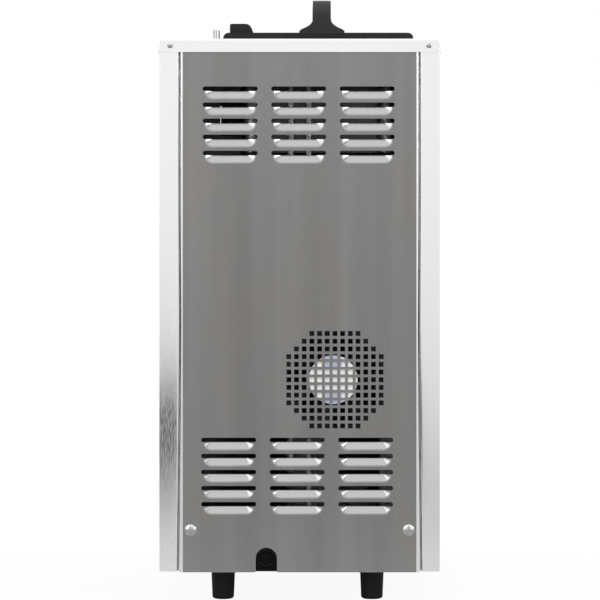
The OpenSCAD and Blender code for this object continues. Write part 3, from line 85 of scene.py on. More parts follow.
camera_data = bpy.data.cameras.new("camera")
camera_data.sensor_width = SENSOR_WIDTH
camera_data.lens = SENSOR_WIDTH * CAMERA_DISTANCE / FRAME_WIDTH
camera = bpy.data.objects.new("camera", camera_data)
bpy.context.scene.collection.objects.link(camera)
camera.location = (CAMERA_X, rear_y + CAMERA_DISTANCE, CAMERA_HEIGHT)
camera.rotation_euler = (math.radians(90), 0, math.radians(180))
bpy.context.scene.camera = camera
bpy.context.scene.view_settings.view_transform = "Standard"
print(f"lens {camera_data.lens:.1f} mm")

# %% [markdown]
# ## Helpers for node materials
# Every finish below is one Principled shader with a few texture nodes in front of it. The helper adds one
# node and connects its inputs in the same line, which keeps each finish as short as its description.
# Values that are the same all over a surface stay on the shader's own sockets.

# %% Node helpers
def add_node(tree, kind, inputs=None, **settings):
    """A new node with its settings made, and its inputs either connected or set."""
    made = tree.nodes.new(kind)
    for name, value in settings.items():
        setattr(made, name, value)
    for name, value in (inputs or {}).items():
        if isinstance(value, bpy.types.NodeSocket):
            tree.links.new(value, made.inputs[name])
        else:
            made.inputs[name].default_value = value
    return made


def new_finish(name, colour, roughness, metallic=0.0, **sockets):
    """A material whose Principled shader has its plain values set. Returns it, its tree and its shader."""
    finish = bpy.data.materials.new(name)
    finish.use_nodes = True
    shader = finish.node_tree.nodes["Principled BSDF"]
    shader.inputs["Base Color"].default_value = (*colour, 1)
    shader.inputs["Roughness"].default_value = roughness
    shader.inputs["Metallic"].default_value = metallic
    for socket, value in sockets.items():
        shader.inputs[socket.replace("_", " ").title().replace("Ior", "IOR")].default_value = value
    finish.diffuse_color = (*colour, 1)
    return finish, finish.node_tree, shader


print("node helpers ready")

# %% [markdown]
# ## Patterns on a surface
# Brushing, grain and stains are textures that read the piece's own coordinates, so they stay where they are
# when the piece moves. A surface can also ask where it is: that is how one sheet of steel gets a dull face,
# smooth scoops and painted highlights on its edges from a single material.

# %% Patterns and places
def object_pattern(tree, kind, stretch, output, **inputs):
    """A texture on object coordinates in metres, with its own scale along X, Y and Z."""
    place = add_node(tree, "ShaderNodeTexCoord").outputs["Object"]
    scaled = add_node(tree, "ShaderNodeMapping", {"Vector": place, "Scale": stretch}).outputs["Vector"]
    sockets = {name.replace("_", " ").title(): value for name, value in inputs.items()}
    return add_node(tree, kind, {"Vector": scaled, **sockets}).outputs[output]


def surface_point(tree, reading="Object"):
    """The X, Y and Z of a point on the piece, or with "Normal" of the way that its face looks."""
    point = add_node(tree, "ShaderNodeTexCoord").outputs[reading]
    return add_node(tree, "ShaderNodeSeparateXYZ", {"Vector": point}).outputs


print("pattern helpers ready")

# %% [markdown]
# ## Sums, tints and relief
# Few textures are used as they come. Most are stretched to a useful range, turned into a tint of the
# finish's own colour, or read as a height that tilts the surface a little.

# %% Sums, tints and relief
def remap(tree, value, low, high, new_low, new_high):
    """A value carried from one range onto another, and kept inside it."""
    inputs = {"Value": value, "From Min": low, "From Max": high, "To Min": new_low, "To Max": new_high}
    return add_node(tree, "ShaderNodeMapRange", inputs).outputs["Result"]


def calculate(tree, operation, a, b):
    """One sum of two values."""
    made = add_node(tree, "ShaderNodeMath", operation=operation)
    for socket, value in zip(made.inputs, (a, b)):
        if isinstance(value, bpy.types.NodeSocket):
            tree.links.new(value, socket)
        else:
            socket.default_value = value
    return made.outputs[0]


def distance_from(tree, value, middle=0.0):
    """How far a value lies from a middle, on either side."""
    return calculate(tree, "ABSOLUTE", calculate(tree, "SUBTRACT", value, middle), 0.0)


def tint(tree, factor, first, second):
    """A colour between two colours, which may be connected or plain."""
    made = add_node(tree, "ShaderNodeMix", data_type="RGBA")
    tree.links.new(factor, made.inputs["Factor"])
    for socket, value in ((made.inputs[6], first), (made.inputs[7], second)):
        if isinstance(value, bpy.types.NodeSocket):
            tree.links.new(value, socket)
        else:
            socket.default_value = (*value, 1)
    return made.outputs[2]


def bump(tree, shader, height, distance, strength=1.0, under=None):
    """Relief on the shader's normal, from a height pattern in metres of depth."""
    inputs = {"Height": height, "Distance": distance, "Strength": strength}
    if under is not None:
        inputs["Normal"] = under
    normal = add_node(tree, "ShaderNodeBump", inputs).outputs["Normal"]
    tree.links.new(normal, shader.inputs["Normal"])
    return normal


print("sums, tints and relief ready")

# %% [markdown]
# ## The studio
# Polished sheet shows the room more than it shows itself, so the room matters. The walls are bright above
# the horizon. Just below it, where the folded edges of the side panels look, the floor darkens with
# distance and then brightens again near the machine. It does so more on the machine's left side, so the
# room has two sets of tones and blends them across the view. The camera itself sees plain white.

# %% Room tones
ROOM_FROM, ROOM_TO = -0.3, 0.1
left_tones = [
    (-0.300, 0.30), (-0.160, 0.45), (-0.090, 0.75), (-0.0757, 0.74), (-0.0661, 0.575), (-0.0565, 0.40),
    (-0.0469, 0.14), (-0.0395, 0.06), (-0.0345, 0.12), (-0.0228, 0.58), (-0.014, 0.78), (-0.0036, 0.835),
    (0.015, 0.885), (0.069, 0.947), (0.1, 0.95)
]
right_tones = [
    (-0.300, 0.30), (-0.160, 0.45), (-0.090, 0.73), (-0.0799, 0.71), (-0.0709, 0.63), (-0.0565, 0.54),
    (-0.042, 0.67), (-0.0228, 0.775), (0.0, 0.845), (0.015, 0.877), (0.069, 0.947), (0.1, 0.95)
]
print("room tones:", len(left_tones), "on the left,", len(right_tones), "on the right")

# %% [markdown]
# The tones become two colour ramps over the height of a direction. High above the horizon the room gets
# brighter still, as a studio's ceiling of soft boxes is.

# %% World
SIDE_BLEND = 0.03
OVERHEAD, OVERHEAD_FROM, OVERHEAD_FULL = 1.25, 0.25, 0.8
world = bpy.data.worlds.new("studio")
bpy.context.scene.world = world
world.use_nodes = True
room = world.node_tree
room.nodes.clear()
direction = add_node(room, "ShaderNodeTexCoord").outputs["Generated"]
along = add_node(room, "ShaderNodeSeparateXYZ", {"Vector": direction}).outputs
height = remap(room, along["Z"], ROOM_FROM, ROOM_TO, 0.0, 1.0)


def room_ramp(tones):
    """The room's tone at each height, as the sine of the angle above the horizon."""
    made = add_node(room, "ShaderNodeValToRGB", {"Fac": height})
    stops = made.color_ramp.elements
    while len(stops) < len(tones):
        stops.new(0.5)
    for stop, (at, tone) in zip(stops, tones):
        stop.position = (at - ROOM_FROM) / (ROOM_TO - ROOM_FROM)
        stop.color = (tone, tone, tone, 1)
    return made.outputs["Color"]


to_left = remap(room, along["X"], -SIDE_BLEND, SIDE_BLEND, 0.0, 1.0)
tones = tint(room, to_left, room_ramp(right_tones), room_ramp(left_tones))
overhead = remap(room, along["Z"], OVERHEAD_FROM, OVERHEAD_FULL, 1.0, OVERHEAD)
ray = add_node(room, "ShaderNodeLightPath").outputs
seen = add_node(room, "ShaderNodeBackground", {"Color": (1, 1, 1, 1), "Strength": 1.0}).outputs[0]
around = add_node(room, "ShaderNodeBackground", {"Color": tones, "Strength": overhead}).outputs[0]
clear_view = calculate(room, "MAXIMUM", ray["Is Camera Ray"], ray["Is Transmission Ray"])
mixed = add_node(room, "ShaderNodeMixShader", {"Fac": clear_view})
room.links.new(around, mixed.inputs[1])
room.links.new(seen, mixed.inputs[2])
output = add_node(room, "ShaderNodeOutputWorld")
room.links.new(mixed.outputs[0], output.inputs["Surface"])
print("the room is up to", OVERHEAD, "times brighter overhead")

# %% [markdown]
# The table is a small round stand, only as large as the machine needs, so that the steel shows the room
# beyond it. To the camera it is nearly as white as the room, apart from the machine's faint shadow.

# %% Table
TABLE_RADIUS = 0.56
TABLE_GLOW = 0.94
bpy.ops.object.select_all(action="DESELECT")
bpy.ops.mesh.primitive_circle_add(vertices=96, radius=TABLE_RADIUS, fill_type="NGON", location=(0, 0, 0))
table = bpy.context.object
table.name = "table"
table_finish, tree, shader = new_finish("pale_table", (0.5, 0.5, 0.5), 0.9, specular_ior_level=0.1)
ray = add_node(tree, "ShaderNodeLightPath").outputs
glow = add_node(tree, "ShaderNodeEmission", {"Color": (1, 1, 1, 1), "Strength": 1.0}).outputs[0]
share = calculate(tree, "MULTIPLY", ray["Is Camera Ray"], TABLE_GLOW)
mixed = add_node(tree, "ShaderNodeMixShader", {"Fac": share})
tree.links.new(shader.outputs[0], mixed.inputs[1])
tree.links.new(glow, mixed.inputs[2])
tree.links.new(mixed.outputs[0], tree.nodes["Material Output"].inputs["Surface"])
table.data.materials.append(table_finish)
print("table radius", TABLE_RADIUS, "m")

# %% [markdown]
# ## The lamps
# Five square lamps add what the room's even light lacks. A large one overhead lights the scoops, and one at
# the rear left gives the back a lighter and a darker side. Two small ones, on either side of the camera's
# line, put an edge on the folds. The last one is for views of the working side.

# %% Lamps
def soft_lamp(name, place, target, size, power):
    """A square area lamp that points at a target."""
    lamp_data = bpy.data.lights.new(name, "AREA")
    lamp_data.size = size
    lamp_data.energy = power
    lamp = bpy.data.objects.new(name, lamp_data)
    lamp.location = place
    lamp.rotation_euler = (Vector(target) - Vector(place)).to_track_quat("-Z", "Y").to_euler()
    bpy.context.scene.collection.objects.link(lamp)
    return lamp


MIDDLE = (0, 0, 0.35)
soft_lamp("overhead_lamp", (0.1, 1.1, 2.4), MIDDLE, 3.0, 26)
soft_lamp("rear_left_lamp", (1.9, 2.6, 1.9), MIDDLE, 1.4, 14)
soft_lamp("front_lamp", (-1.0, -2.4, 2.2), MIDDLE, 1.6, 30)
STRIP_REACH, STRIP_ACROSS, STRIP_BACK, STRIP_HEIGHT = 2.3, 0.81, 0.59, 1.1
for side, power in ((1, 5), (-1, 11)):
    stand = (side * STRIP_REACH * STRIP_ACROSS, rear_y + STRIP_REACH * STRIP_BACK, STRIP_HEIGHT)
    soft_lamp(f"strip_lamp_{side}", stand, MIDDLE, 0.5, power)
print("lamps:", len(bpy.data.lights))

# %% [markdown]
# ## Steel
# The back and the front are brushed sheet: fine hairlines along its height, over soft bands some
# centimetres wide where the brush pressed harder. The bands and hairlines are noise, stretched along Z.

# %% Brushed steel
def shades(colour, spread):
    """A darker and a lighter tone of one colour."""
    return [v * (1 - spread) for v in colour], [min(v * (1 + spread), 1) for v in colour]


def brushed_steel(name, colour, roughness, bands, hairs, spread):
    """Metal with broad bands and fine hairlines, each given as its repeats per metre along X, Y and Z."""
    finish, tree, shader = new_finish(name, colour, roughness, metallic=1.0)
    broad = object_pattern(tree, "ShaderNodeTexNoise", bands, "Fac", scale=1.0, detail=3.0)
    fine = object_pattern(tree, "ShaderNodeTexNoise", hairs, "Fac", scale=1.0, detail=2.0)
    broad_share = calculate(tree, "MULTIPLY", broad, 0.7)
    blend = calculate(tree, "ADD", broad_share, calculate(tree, "MULTIPLY", fine, 0.3))
    factor = remap(tree, blend, 0.35, 0.65, 0.0, 1.0)
    toned = tint(tree, factor, *shades(colour, spread))
    tree.links.new(toned, shader.inputs["Base Color"])
    rough = remap(tree, fine, 0.3, 0.7, roughness - 0.04, roughness + 0.04)
    tree.links.new(rough, shader.inputs["Roughness"])
    bump(tree, shader, fine, 2e-6)
    return finish, tree, shader, toned, rough


finishes = {}
print("brushed steel ready")

# %% [markdown]
# The rear panel has one finish with four tones. Its face is darker than the same brushed sheet at the front,
# which is painted shade. Where the sheet is pressed into a scoop the brushing is drawn smooth, and the broken
# edges of the holes and the folds at its sides get painted highlights. The depth below the panel's outer
# face tells the scoops, the way a face looks the edges, and the distance across the folds.

# %% Rear panel finish
# The panel's face is darker than the front's brushed sheet: painted shade.
SHADED_PANEL_TONE = (0.262, 0.261, 0.259)
PRESSED_TONE = (0.27, 0.27, 0.268)
# Painted highlight on the broken edges of the holes.
RIM_HIGHLIGHT_TONE = (0.5, 0.5, 0.495)
# Painted highlight along the folds at the panel's sides.
FOLD_HIGHLIGHT_TONE = (0.93, 0.93, 0.92)
finish, tree, shader, toned, rough = brushed_steel(
    "brushed_panel_painted_light", SHADED_PANEL_TONE, 0.42, (26, 26, 0.9), (2500, 2500, 60), 0.1)
warm_patch = object_pattern(tree, "ShaderNodeTexNoise", (7, 7, 5), "Fac", scale=1.0, detail=5.0)
warmth = remap(tree, warm_patch, 0.52, 0.6, 0.0, 1.0)
warm = add_node(tree, "ShaderNodeMix", {"Factor": warmth}, data_type="RGBA", blend_type="MULTIPLY")
tree.links.new(toned, warm.inputs[6])
warm.inputs[7].default_value = (1.02, 1.0, 0.97, 1)
at = surface_point(tree)
facing = surface_point(tree, "Normal")
pressed = remap(tree, at["Y"], rear_y - 0.3 * MM, rear_y - 0.9 * MM, 0.0, 1.0)
drawn = tint(tree, pressed, warm.outputs[2], PRESSED_TONE)
# Faces that look sideways, at the holes' edges, get the painted highlight.
broken = remap(tree, distance_from(tree, facing["X"]), 0.47, 0.6, 0.0, 1.0)
drawn = tint(tree, broken, drawn, RIM_HIGHLIGHT_TONE)
PANEL_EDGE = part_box("rear_panel")[1].x
# Across the folds the sheet gets the painted highlight and a smoother finish.
folded = remap(tree, distance_from(tree, at["X"]), PANEL_EDGE - 2.4 * MM, PANEL_EDGE - 1.9 * MM, 0.0, 1.0)
tree.links.new(tint(tree, folded, drawn, FOLD_HIGHLIGHT_TONE), shader.inputs["Base Color"])
WORKED_ROUGHNESS = 0.22
worked = calculate(tree, "MAXIMUM", pressed, folded)
smooth_drawn = add_node(tree, "ShaderNodeMix", {"Factor": worked}, data_type="FLOAT")
tree.links.new(rough, smooth_drawn.inputs[2])
smooth_drawn.inputs[3].default_value = WORKED_ROUGHNESS
tree.links.new(smooth_drawn.outputs[0], shader.inputs["Roughness"])
finishes["rear_panel"] = finish
print("rear panel tones:", SHADED_PANEL_TONE, PRESSED_TONE, RIM_HIGHLIGHT_TONE, FOLD_HIGHLIGHT_TONE)

# %% [markdown]
# The other steels differ only in how bright, how rough and how coarse they are: a brushed front, polished
# side panels and top cover, plated screws and chrome.

# %% Other steels
finishes["panel_steel"] = brushed_steel(
    "brushed_front", (0.4, 0.4, 0.395), 0.36, (26, 26, 0.9), (2500, 2500, 60), 0.08)[0]
finishes["bright_steel"] = brushed_steel(
    "polished_sheet", (0.92, 0.925, 0.93), 0.07, (12, 12, 2), (1500, 1500, 90), 0.02)[0]
finishes["screw_steel"] = brushed_steel(
    "plated_screw", (0.46, 0.46, 0.455), 0.34, (300, 300, 300), (2500, 2500, 2500), 0.12)[0]
finishes["chrome_trim"] = brushed_steel(
    "chrome", (0.9, 0.9, 0.9), 0.08, (60, 60, 60), (900, 900, 900), 0.04)[0]
print("other steels:", sorted(finishes))

# %% [markdown]
# The hopper is satin steel where the mix goes. Its outside is given a dark tone, painted shade for the dim
# inside of the cabinet that shows through the louvers. One material holds both, and the point's place tells
# which side it is on.

# %% Hopper finish
# The hopper's dark outside is painted shade.
PAINTED_SHADE_TONE = (0.2, 0.2, 0.2)
tub_low, tub_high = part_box("hopper")
TUB_FLANGE, TUB_SHEET = 10 * MM, 1.5 * MM
tub_middle, tub_half = (tub_low + tub_high) / 2, (tub_high - tub_low) / 2
finish, tree, shader, toned, rough = brushed_steel(
    "satin_tank", (0.66, 0.67, 0.68), 0.3, (8, 8, 8), (400, 400, 400), 0.06)
at = surface_point(tree)
outside = remap(tree, at["Z"], tub_low.z + TUB_SHEET, tub_low.z + TUB_SHEET / 2, 0.0, 1.0)
for axis, centre, reach in (("X", tub_middle.x, tub_half.x), ("Y", tub_middle.y, tub_half.y)):
    wall = reach - TUB_FLANGE - TUB_SHEET / 2
    past_wall = remap(tree, distance_from(tree, at[axis], centre), wall - 0.1 * MM, wall + 0.1 * MM, 0.0, 1.0)
    outside = calculate(tree, "MAXIMUM", outside, past_wall)
below = remap(tree, at["Z"], tub_high.z - 2 * TUB_SHEET, tub_high.z - TUB_SHEET, 1.0, 0.0)
# Painted shade on the outside, below the rim.
painted_shade_share = calculate(tree, "MULTIPLY", outside, below)
tree.links.new(tint(tree, painted_shade_share, toned, PAINTED_SHADE_TONE), shader.inputs["Base Color"])
finishes["tank_steel"] = finish
print("hopper finish for a tub", [round(v / MM, 1) for v in tub_high - tub_low], "mm")

# %% [markdown]
# ## Sheet, castings and drawn metal inside the cabinet
# The pan, the posts and the brackets are zinc-plated, and zinc sets in flat crystals a few millimetres
# wide: a Voronoi pattern gives each crystal its own tone. Castings are enamelled, with the fine orange
# peel of sprayed paint. Copper and aluminium get the soft stains that handling leaves.

# %% Inner metals
def zinc_sheet(name, colour):
    """Plated sheet with a crystal pattern."""
    finish, tree, shader = new_finish(name, colour, 0.4, metallic=1.0)
    crystal = object_pattern(tree, "ShaderNodeTexVoronoi", (130, 130, 130), "Color", scale=1.0)
    tone = add_node(tree, "ShaderNodeSeparateColor", {"Color": crystal}).outputs["Red"]
    tree.links.new(tint(tree, tone, *shades(colour, 0.1)), shader.inputs["Base Color"])
    tree.links.new(remap(tree, tone, 0.0, 1.0, 0.32, 0.5), shader.inputs["Roughness"])
    return finish


def sprayed_enamel(name, colour, metallic=0.0):
    """Paint with an orange-peel surface and a little dust."""
    finish, tree, shader = new_finish(name, colour, 0.36, metallic=metallic)
    peel = object_pattern(tree, "ShaderNodeTexNoise", (600, 600, 600), "Fac", scale=1.0, detail=2.0)
    dust = object_pattern(tree, "ShaderNodeTexNoise", (18, 18, 18), "Fac", scale=1.0, detail=5.0)
    dusty = remap(tree, dust, 0.4, 0.7, 0.0, 1.0)
    tree.links.new(tint(tree, dusty, *shades(colour, 0.12)), shader.inputs["Base Color"])
    tree.links.new(remap(tree, dust, 0.35, 0.7, 0.3, 0.48), shader.inputs["Roughness"])
    bump(tree, shader, peel, 2e-5)
    return finish


def stained_metal(name, colour, stain, roughness):
    """Drawn metal with soft stains of a second colour."""
    finish, tree, shader = new_finish(name, colour, roughness, metallic=1.0)
    blot = object_pattern(tree, "ShaderNodeTexNoise", (35, 35, 35), "Fac", scale=1.0, detail=6.0)
    share = remap(tree, blot, 0.42, 0.68, 0.0, 1.0)
    tree.links.new(tint(tree, share, colour, stain), shader.inputs["Base Color"])
    tree.links.new(remap(tree, blot, 0.4, 0.7, roughness, roughness + 0.15), shader.inputs["Roughness"])
    return finish


finishes["zinc_sheet"] = zinc_sheet("zinc_plating", (0.6, 0.62, 0.64))
finishes["cast_paint"] = sprayed_enamel("grey_enamel", (0.2, 0.23, 0.26))
finishes["black_paint"] = sprayed_enamel("black_enamel", (0.028, 0.028, 0.03))
finishes["pulley_iron"] = stained_metal("turned_iron", (0.24, 0.24, 0.24), (0.15, 0.13, 0.12), 0.42)
finishes["fin_aluminium"] = stained_metal("drawn_aluminium", (0.74, 0.75, 0.76), (0.6, 0.6, 0.6), 0.35)
finishes["copper"] = stained_metal("drawn_copper", (0.8, 0.42, 0.28), (0.45, 0.24, 0.15), 0.28)
print("inner metals ready")

# %% [markdown]
# ## Plastics, rubber and foam
# The lid, the handle and the knobs are black moulded plastic. Its mould was etched, so the surface has a
# fine grain that breaks up every highlight. White food-grade plastic is the same with a finer grain, and
# some light gets into it. Rubber is duller, and rigid foam has small open cells.

# %% Plastic, rubber and foam finishes
def moulded_plastic(name, colour, roughness, grain, depth, spread=0.08, **sockets):
    """Plastic with an etched grain, given as its repeats per metre and its depth in metres."""
    finish, tree, shader = new_finish(name, colour, roughness, **sockets)
    etched = object_pattern(tree, "ShaderNodeTexNoise", (grain, grain, grain), "Fac", scale=1.0, detail=2.0)
    handled = object_pattern(tree, "ShaderNodeTexNoise", (14, 14, 14), "Fac", scale=1.0, detail=5.0)
    share = remap(tree, handled, 0.38, 0.64, 0.0, 1.0)
    tree.links.new(tint(tree, share, *shades(colour, spread)), shader.inputs["Base Color"])
    rough = remap(tree, handled, 0.35, 0.65, roughness - 0.05, roughness + 0.05)
    tree.links.new(rough, shader.inputs["Roughness"])
    bump(tree, shader, etched, depth)
    return finish


def closed_foam(name, colour):
    """Rigid foam with small cells."""
    finish, tree, shader = new_finish(name, colour, 0.9)
    cell = object_pattern(tree, "ShaderNodeTexVoronoi", (450, 450, 450), "Distance", scale=1.0)
    skin = object_pattern(tree, "ShaderNodeTexNoise", (25, 25, 25), "Fac", scale=1.0, detail=4.0)
    tree.links.new(tint(tree, skin, *shades(colour, 0.15)), shader.inputs["Base Color"])
    bump(tree, shader, cell, 4e-4, 0.6)
    return finish


finishes["black_plastic"] = moulded_plastic(
    "black_moulding", (0.0105, 0.0108, 0.011), 0.5, 1800, 3e-5, 0.2, specular_ior_level=0.14)
finishes["handle_plastic"] = moulded_plastic(
    "handle_moulding", (0.022, 0.024, 0.023), 0.55, 1800, 4e-5, 0.15, specular_ior_level=0.2)
# A darker copy of the black moulding, for the gland in the notch's shade: painted shade.
finishes["shaded_gland_plastic"] = moulded_plastic(
    "gland_moulding_painted_shade", (0.0012, 0.0014, 0.002), 0.3, 1500, 1e-5, 0.2, specular_ior_level=0.1)
finishes["black_gloss"] = moulded_plastic("black_gloss", (0.012, 0.012, 0.014), 0.12, 300, 4e-6, 0.1)
finishes["white_plastic"] = moulded_plastic(
    "food_plastic", (0.8, 0.8, 0.77), 0.38, 900, 1e-5, 0.03, subsurface_weight=0.08)
finishes["white_plastic"].node_tree.nodes["Principled BSDF"].inputs["Subsurface Radius"].default_value = (
    0.004, 0.004, 0.003)
finishes["fan_plastic"] = moulded_plastic(
    "fan_moulding", (0.006, 0.006, 0.0065), 0.5, 1200, 2e-5, 0.15, specular_ior_level=0.12)
finishes["button_plastic"] = moulded_plastic("button_moulding", (0.58, 0.59, 0.61), 0.32, 1500, 1e-5, 0.04)
finishes["rubber"] = moulded_plastic(
    "black_rubber", (0.0125, 0.013, 0.013), 0.62, 900, 6e-5, 0.2, specular_ior_level=0.15)
finishes["seal_rubber"] = moulded_plastic("red_rubber", (0.33, 0.07, 0.045), 0.6, 900, 4e-5, 0.12)
finishes["foam"] = closed_foam("pale_foam", (0.78, 0.7, 0.42))
print("plastics ready:", sorted(finishes))

# %% [markdown]
# ## The window and the board
# The display's window is tinted and glossy. The board behind the controls is green laminate, with fine
# tracks that a grid of squares suggests where the cover hides most of it.

# %% Window and board finishes
LAMINATE, TRACKS = (0.02, 0.16, 0.07), (0.08, 0.3, 0.14)
window_finish, tree, shader = new_finish("tinted_window", (0.012, 0.016, 0.022), 0.06, coat_weight=0.6)
smear = object_pattern(tree, "ShaderNodeTexNoise", (30, 30, 30), "Fac", scale=1.0, detail=4.0)
tree.links.new(remap(tree, smear, 0.4, 0.7, 0.05, 0.14), shader.inputs["Roughness"])
finishes["window"] = window_finish
board_finish, tree, shader = new_finish("green_laminate", LAMINATE, 0.3)
track = object_pattern(tree, "ShaderNodeTexBrick", (120, 120, 120), "Fac", scale=1.0, mortar_size=0.06)
tree.links.new(tint(tree, track, LAMINATE, TRACKS), shader.inputs["Base Color"])
finishes["circuit_board"] = board_finish
digit_finish, tree, shader = new_finish("lit_segment", (0.6, 0.05, 0.03), 0.4)
shader.inputs["Emission Color"].default_value = (1.0, 0.16, 0.08, 1)
shader.inputs["Emission Strength"].default_value = 0.8
flicker = object_pattern(tree, "ShaderNodeTexNoise", (250, 250, 250), "Fac", scale=1.0)
tree.links.new(remap(tree, flicker, 0.3, 0.7, 0.3, 0.5), shader.inputs["Roughness"])
finishes["segment"] = digit_finish
print(len(finishes), "finishes")

# %% [markdown]
# ## How the pieces are made
# Three ways of working cover nearly everything here. Folded sheet is an open outline pushed along its
# length and given a thickness. Round parts are a profile spun about an axis. Everything else starts as
# the CAD solid itself: a copy is welded together and its edges are rounded, so that they catch the light.
# An edge that is perfectly sharp never looks like metal, because no real edge is.

# %% Finishes on the CAD solids
slots = {part["node"]: part["material_slot"] for part in frame["record"]["subparts"]}
for name, solid in frame["nodes"].items():
    solid.data.materials.clear()
    solid.data.materials.append(finishes[slots[name]])
print(len(slots), "nodes have their finish")

# %% [markdown]
# ## Selecting
# An operator works on whatever is selected, as a hand on a mouse would. So every step below starts by
# selecting one piece alone, and then the faces or edges that it means, by their place.

# %% Selection helpers
def only(*pieces):
    """Selects these pieces alone, and makes the last one active."""
    bpy.ops.object.select_all(action="DESELECT")
    for piece in pieces:
        piece.select_set(True)
        bpy.context.view_layer.objects.active = piece


def edit(piece, select="SELECT"):
    """Opens one piece in edit mode."""
    only(piece)
    bpy.ops.object.mode_set(mode="EDIT")
    bpy.ops.mesh.select_all(action=select)


def pick_faces(piece, chosen):
    """Opens edit mode with only the faces selected for which chosen(centre in mm, normal) is true."""
    edit(piece, "DESELECT")
    bpy.ops.mesh.select_mode(type="FACE")
    bpy.ops.object.mode_set(mode="OBJECT")
    for face in piece.data.polygons:
        face.select = bool(chosen(face.center / MM, face.normal))
    bpy.ops.object.mode_set(mode="EDIT")


def pick_edges(piece, chosen):
    """Opens edit mode with only the edges selected for which chosen(end, other end) in mm is true."""
    edit(piece, "DESELECT")
    bpy.ops.mesh.select_mode(type="EDGE")
    bpy.ops.object.mode_set(mode="OBJECT")
    points = piece.data.vertices
    for edge in piece.data.edges:
        edge.select = bool(chosen(*(points[i].co / MM for i in edge.vertices)))
    bpy.ops.object.mode_set(mode="EDIT")


def back_to_object():
    """Leaves edit mode, and goes back to selecting by vertices."""
    bpy.ops.mesh.select_mode(type="VERT")
    bpy.ops.object.mode_set(mode="OBJECT")


print("selection helpers ready")

# %% [markdown]
# ## Outlines, blocks and copies
# A shape usually starts as an outline. It is laid out as a ring of points, which is then filled and pushed
# through to make a block, or left open to become a sheet.

# %% Shape helpers
def outline(name, points, fill=True, closed=True):
    """A ring of vertices laid along the given points in mm, filled or left as a wire."""
    bpy.ops.object.select_all(action="DESELECT")
    bpy.ops.mesh.primitive_circle_add(vertices=len(points), fill_type="NGON" if fill else "NOTHING")
    piece = bpy.context.object
    piece.name = name
    for vertex, point in zip(piece.data.vertices, points):
        vertex.co = Vector(point) * MM
    if not closed:
        bpy.ops.object.mode_set(mode="EDIT")
        bpy.ops.mesh.select_all(action="DESELECT")
        bpy.ops.object.mode_set(mode="OBJECT")
        ends = {0, len(points) - 1}
        for edge in piece.data.edges:
            edge.select = set(edge.vertices) == ends
        bpy.ops.object.mode_set(mode="EDIT")
        bpy.ops.mesh.select_mode(type="EDGE")
        bpy.ops.mesh.delete(type="EDGE_FACE")
        bpy.ops.mesh.select_mode(type="VERT")
        bpy.ops.object.mode_set(mode="OBJECT")
    return piece


def push(piece, way):
    """Extrudes the whole outline along a vector in mm."""
    edit(piece)
    bpy.ops.mesh.extrude_region_move(TRANSFORM_OT_translate={"value": Vector(way) * MM})
    bpy.ops.mesh.select_all(action="SELECT")
    bpy.ops.mesh.normals_make_consistent(inside=False)
    bpy.ops.object.mode_set(mode="OBJECT")
    return piece


def box_between(name, low, high):
    """A block between two corners in mm, with its place in its mesh."""
    bpy.ops.object.select_all(action="DESELECT")
    middle, size = (Vector(low) + Vector(high)) / 2 * MM, (Vector(high) - Vector(low)) * MM
    bpy.ops.mesh.primitive_cube_add(size=1, location=middle)
    piece = bpy.context.object
    piece.name = name
    piece.scale = size
    return place_in_mesh(piece)


def copy_piece(piece, offset, turn=0, axis="Z"):
    """A copy with a mesh of its own, turned about an axis in degrees and then moved by an offset in mm."""
    twin = piece.copy()
    twin.data = piece.data.copy()
    bpy.context.scene.collection.objects.link(twin)
    twin.data.transform(Matrix.Rotation(math.radians(turn), 4, axis))
    twin.data.transform(Matrix.Translation(Vector(offset) * MM))
    return twin


print("shape helpers ready")

# %% [markdown]
# ## Finishing a piece
# A modifier is added and applied at once, so that the mesh is what it looks like. A finished piece then gets
# its shading and its material, says which body it moves with, and hides the CAD nodes that it stands for.

# %% Finishing helpers
SHARP = math.radians(35)


def apply(piece, kind, **settings):
    """Adds one modifier and applies it."""
    only(piece)
    modifier = piece.modifiers.new(kind.lower(), kind)
    for name, value in settings.items():
        setattr(modifier, name, value)
    bpy.ops.object.modifier_apply(modifier=modifier.name)
    return piece


def smooth(piece, angle=SHARP):
    """Smooth shading over soft edges, weighted by area so that flat faces stay flat beside them."""
    only(piece)
    bpy.ops.object.shade_smooth_by_angle(angle=angle)
    return apply(piece, "WEIGHTED_NORMAL", keep_sharp=True, weight=100)


def join(name, pieces):
    """Makes several pieces one. The last of them gives its settings."""
    only(*pieces)
    bpy.ops.object.join()
    bpy.context.object.name = name
    return bpy.context.object


def place_in_mesh(piece):
    """Leaves the object at the origin, with its place in its mesh."""
    only(piece)
    bpy.ops.object.transform_apply(location=True, rotation=True, scale=True)
    return piece


def hand_over(piece, body, slot, *replaced, finish=None):
    """Gives a finished piece its material, from its slot unless a finish is named, and its body, and hides
    the CAD nodes that it stands for.
    """
    place_in_mesh(piece)
    piece.data.materials.clear()
    piece.data.materials.append(finishes[finish or slot])
    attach(piece, body)
    if replaced:
        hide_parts(*replaced)
    return piece


print("finishing helpers ready")

# %% [markdown]
# ## Dressing a CAD solid
# A solid that is already right in shape only lacks its rounded edges. Its copy is welded, its flat faces are
# made whole again, and a bevel does the rest.

# %% Dressing helper
WELD = 2e-6


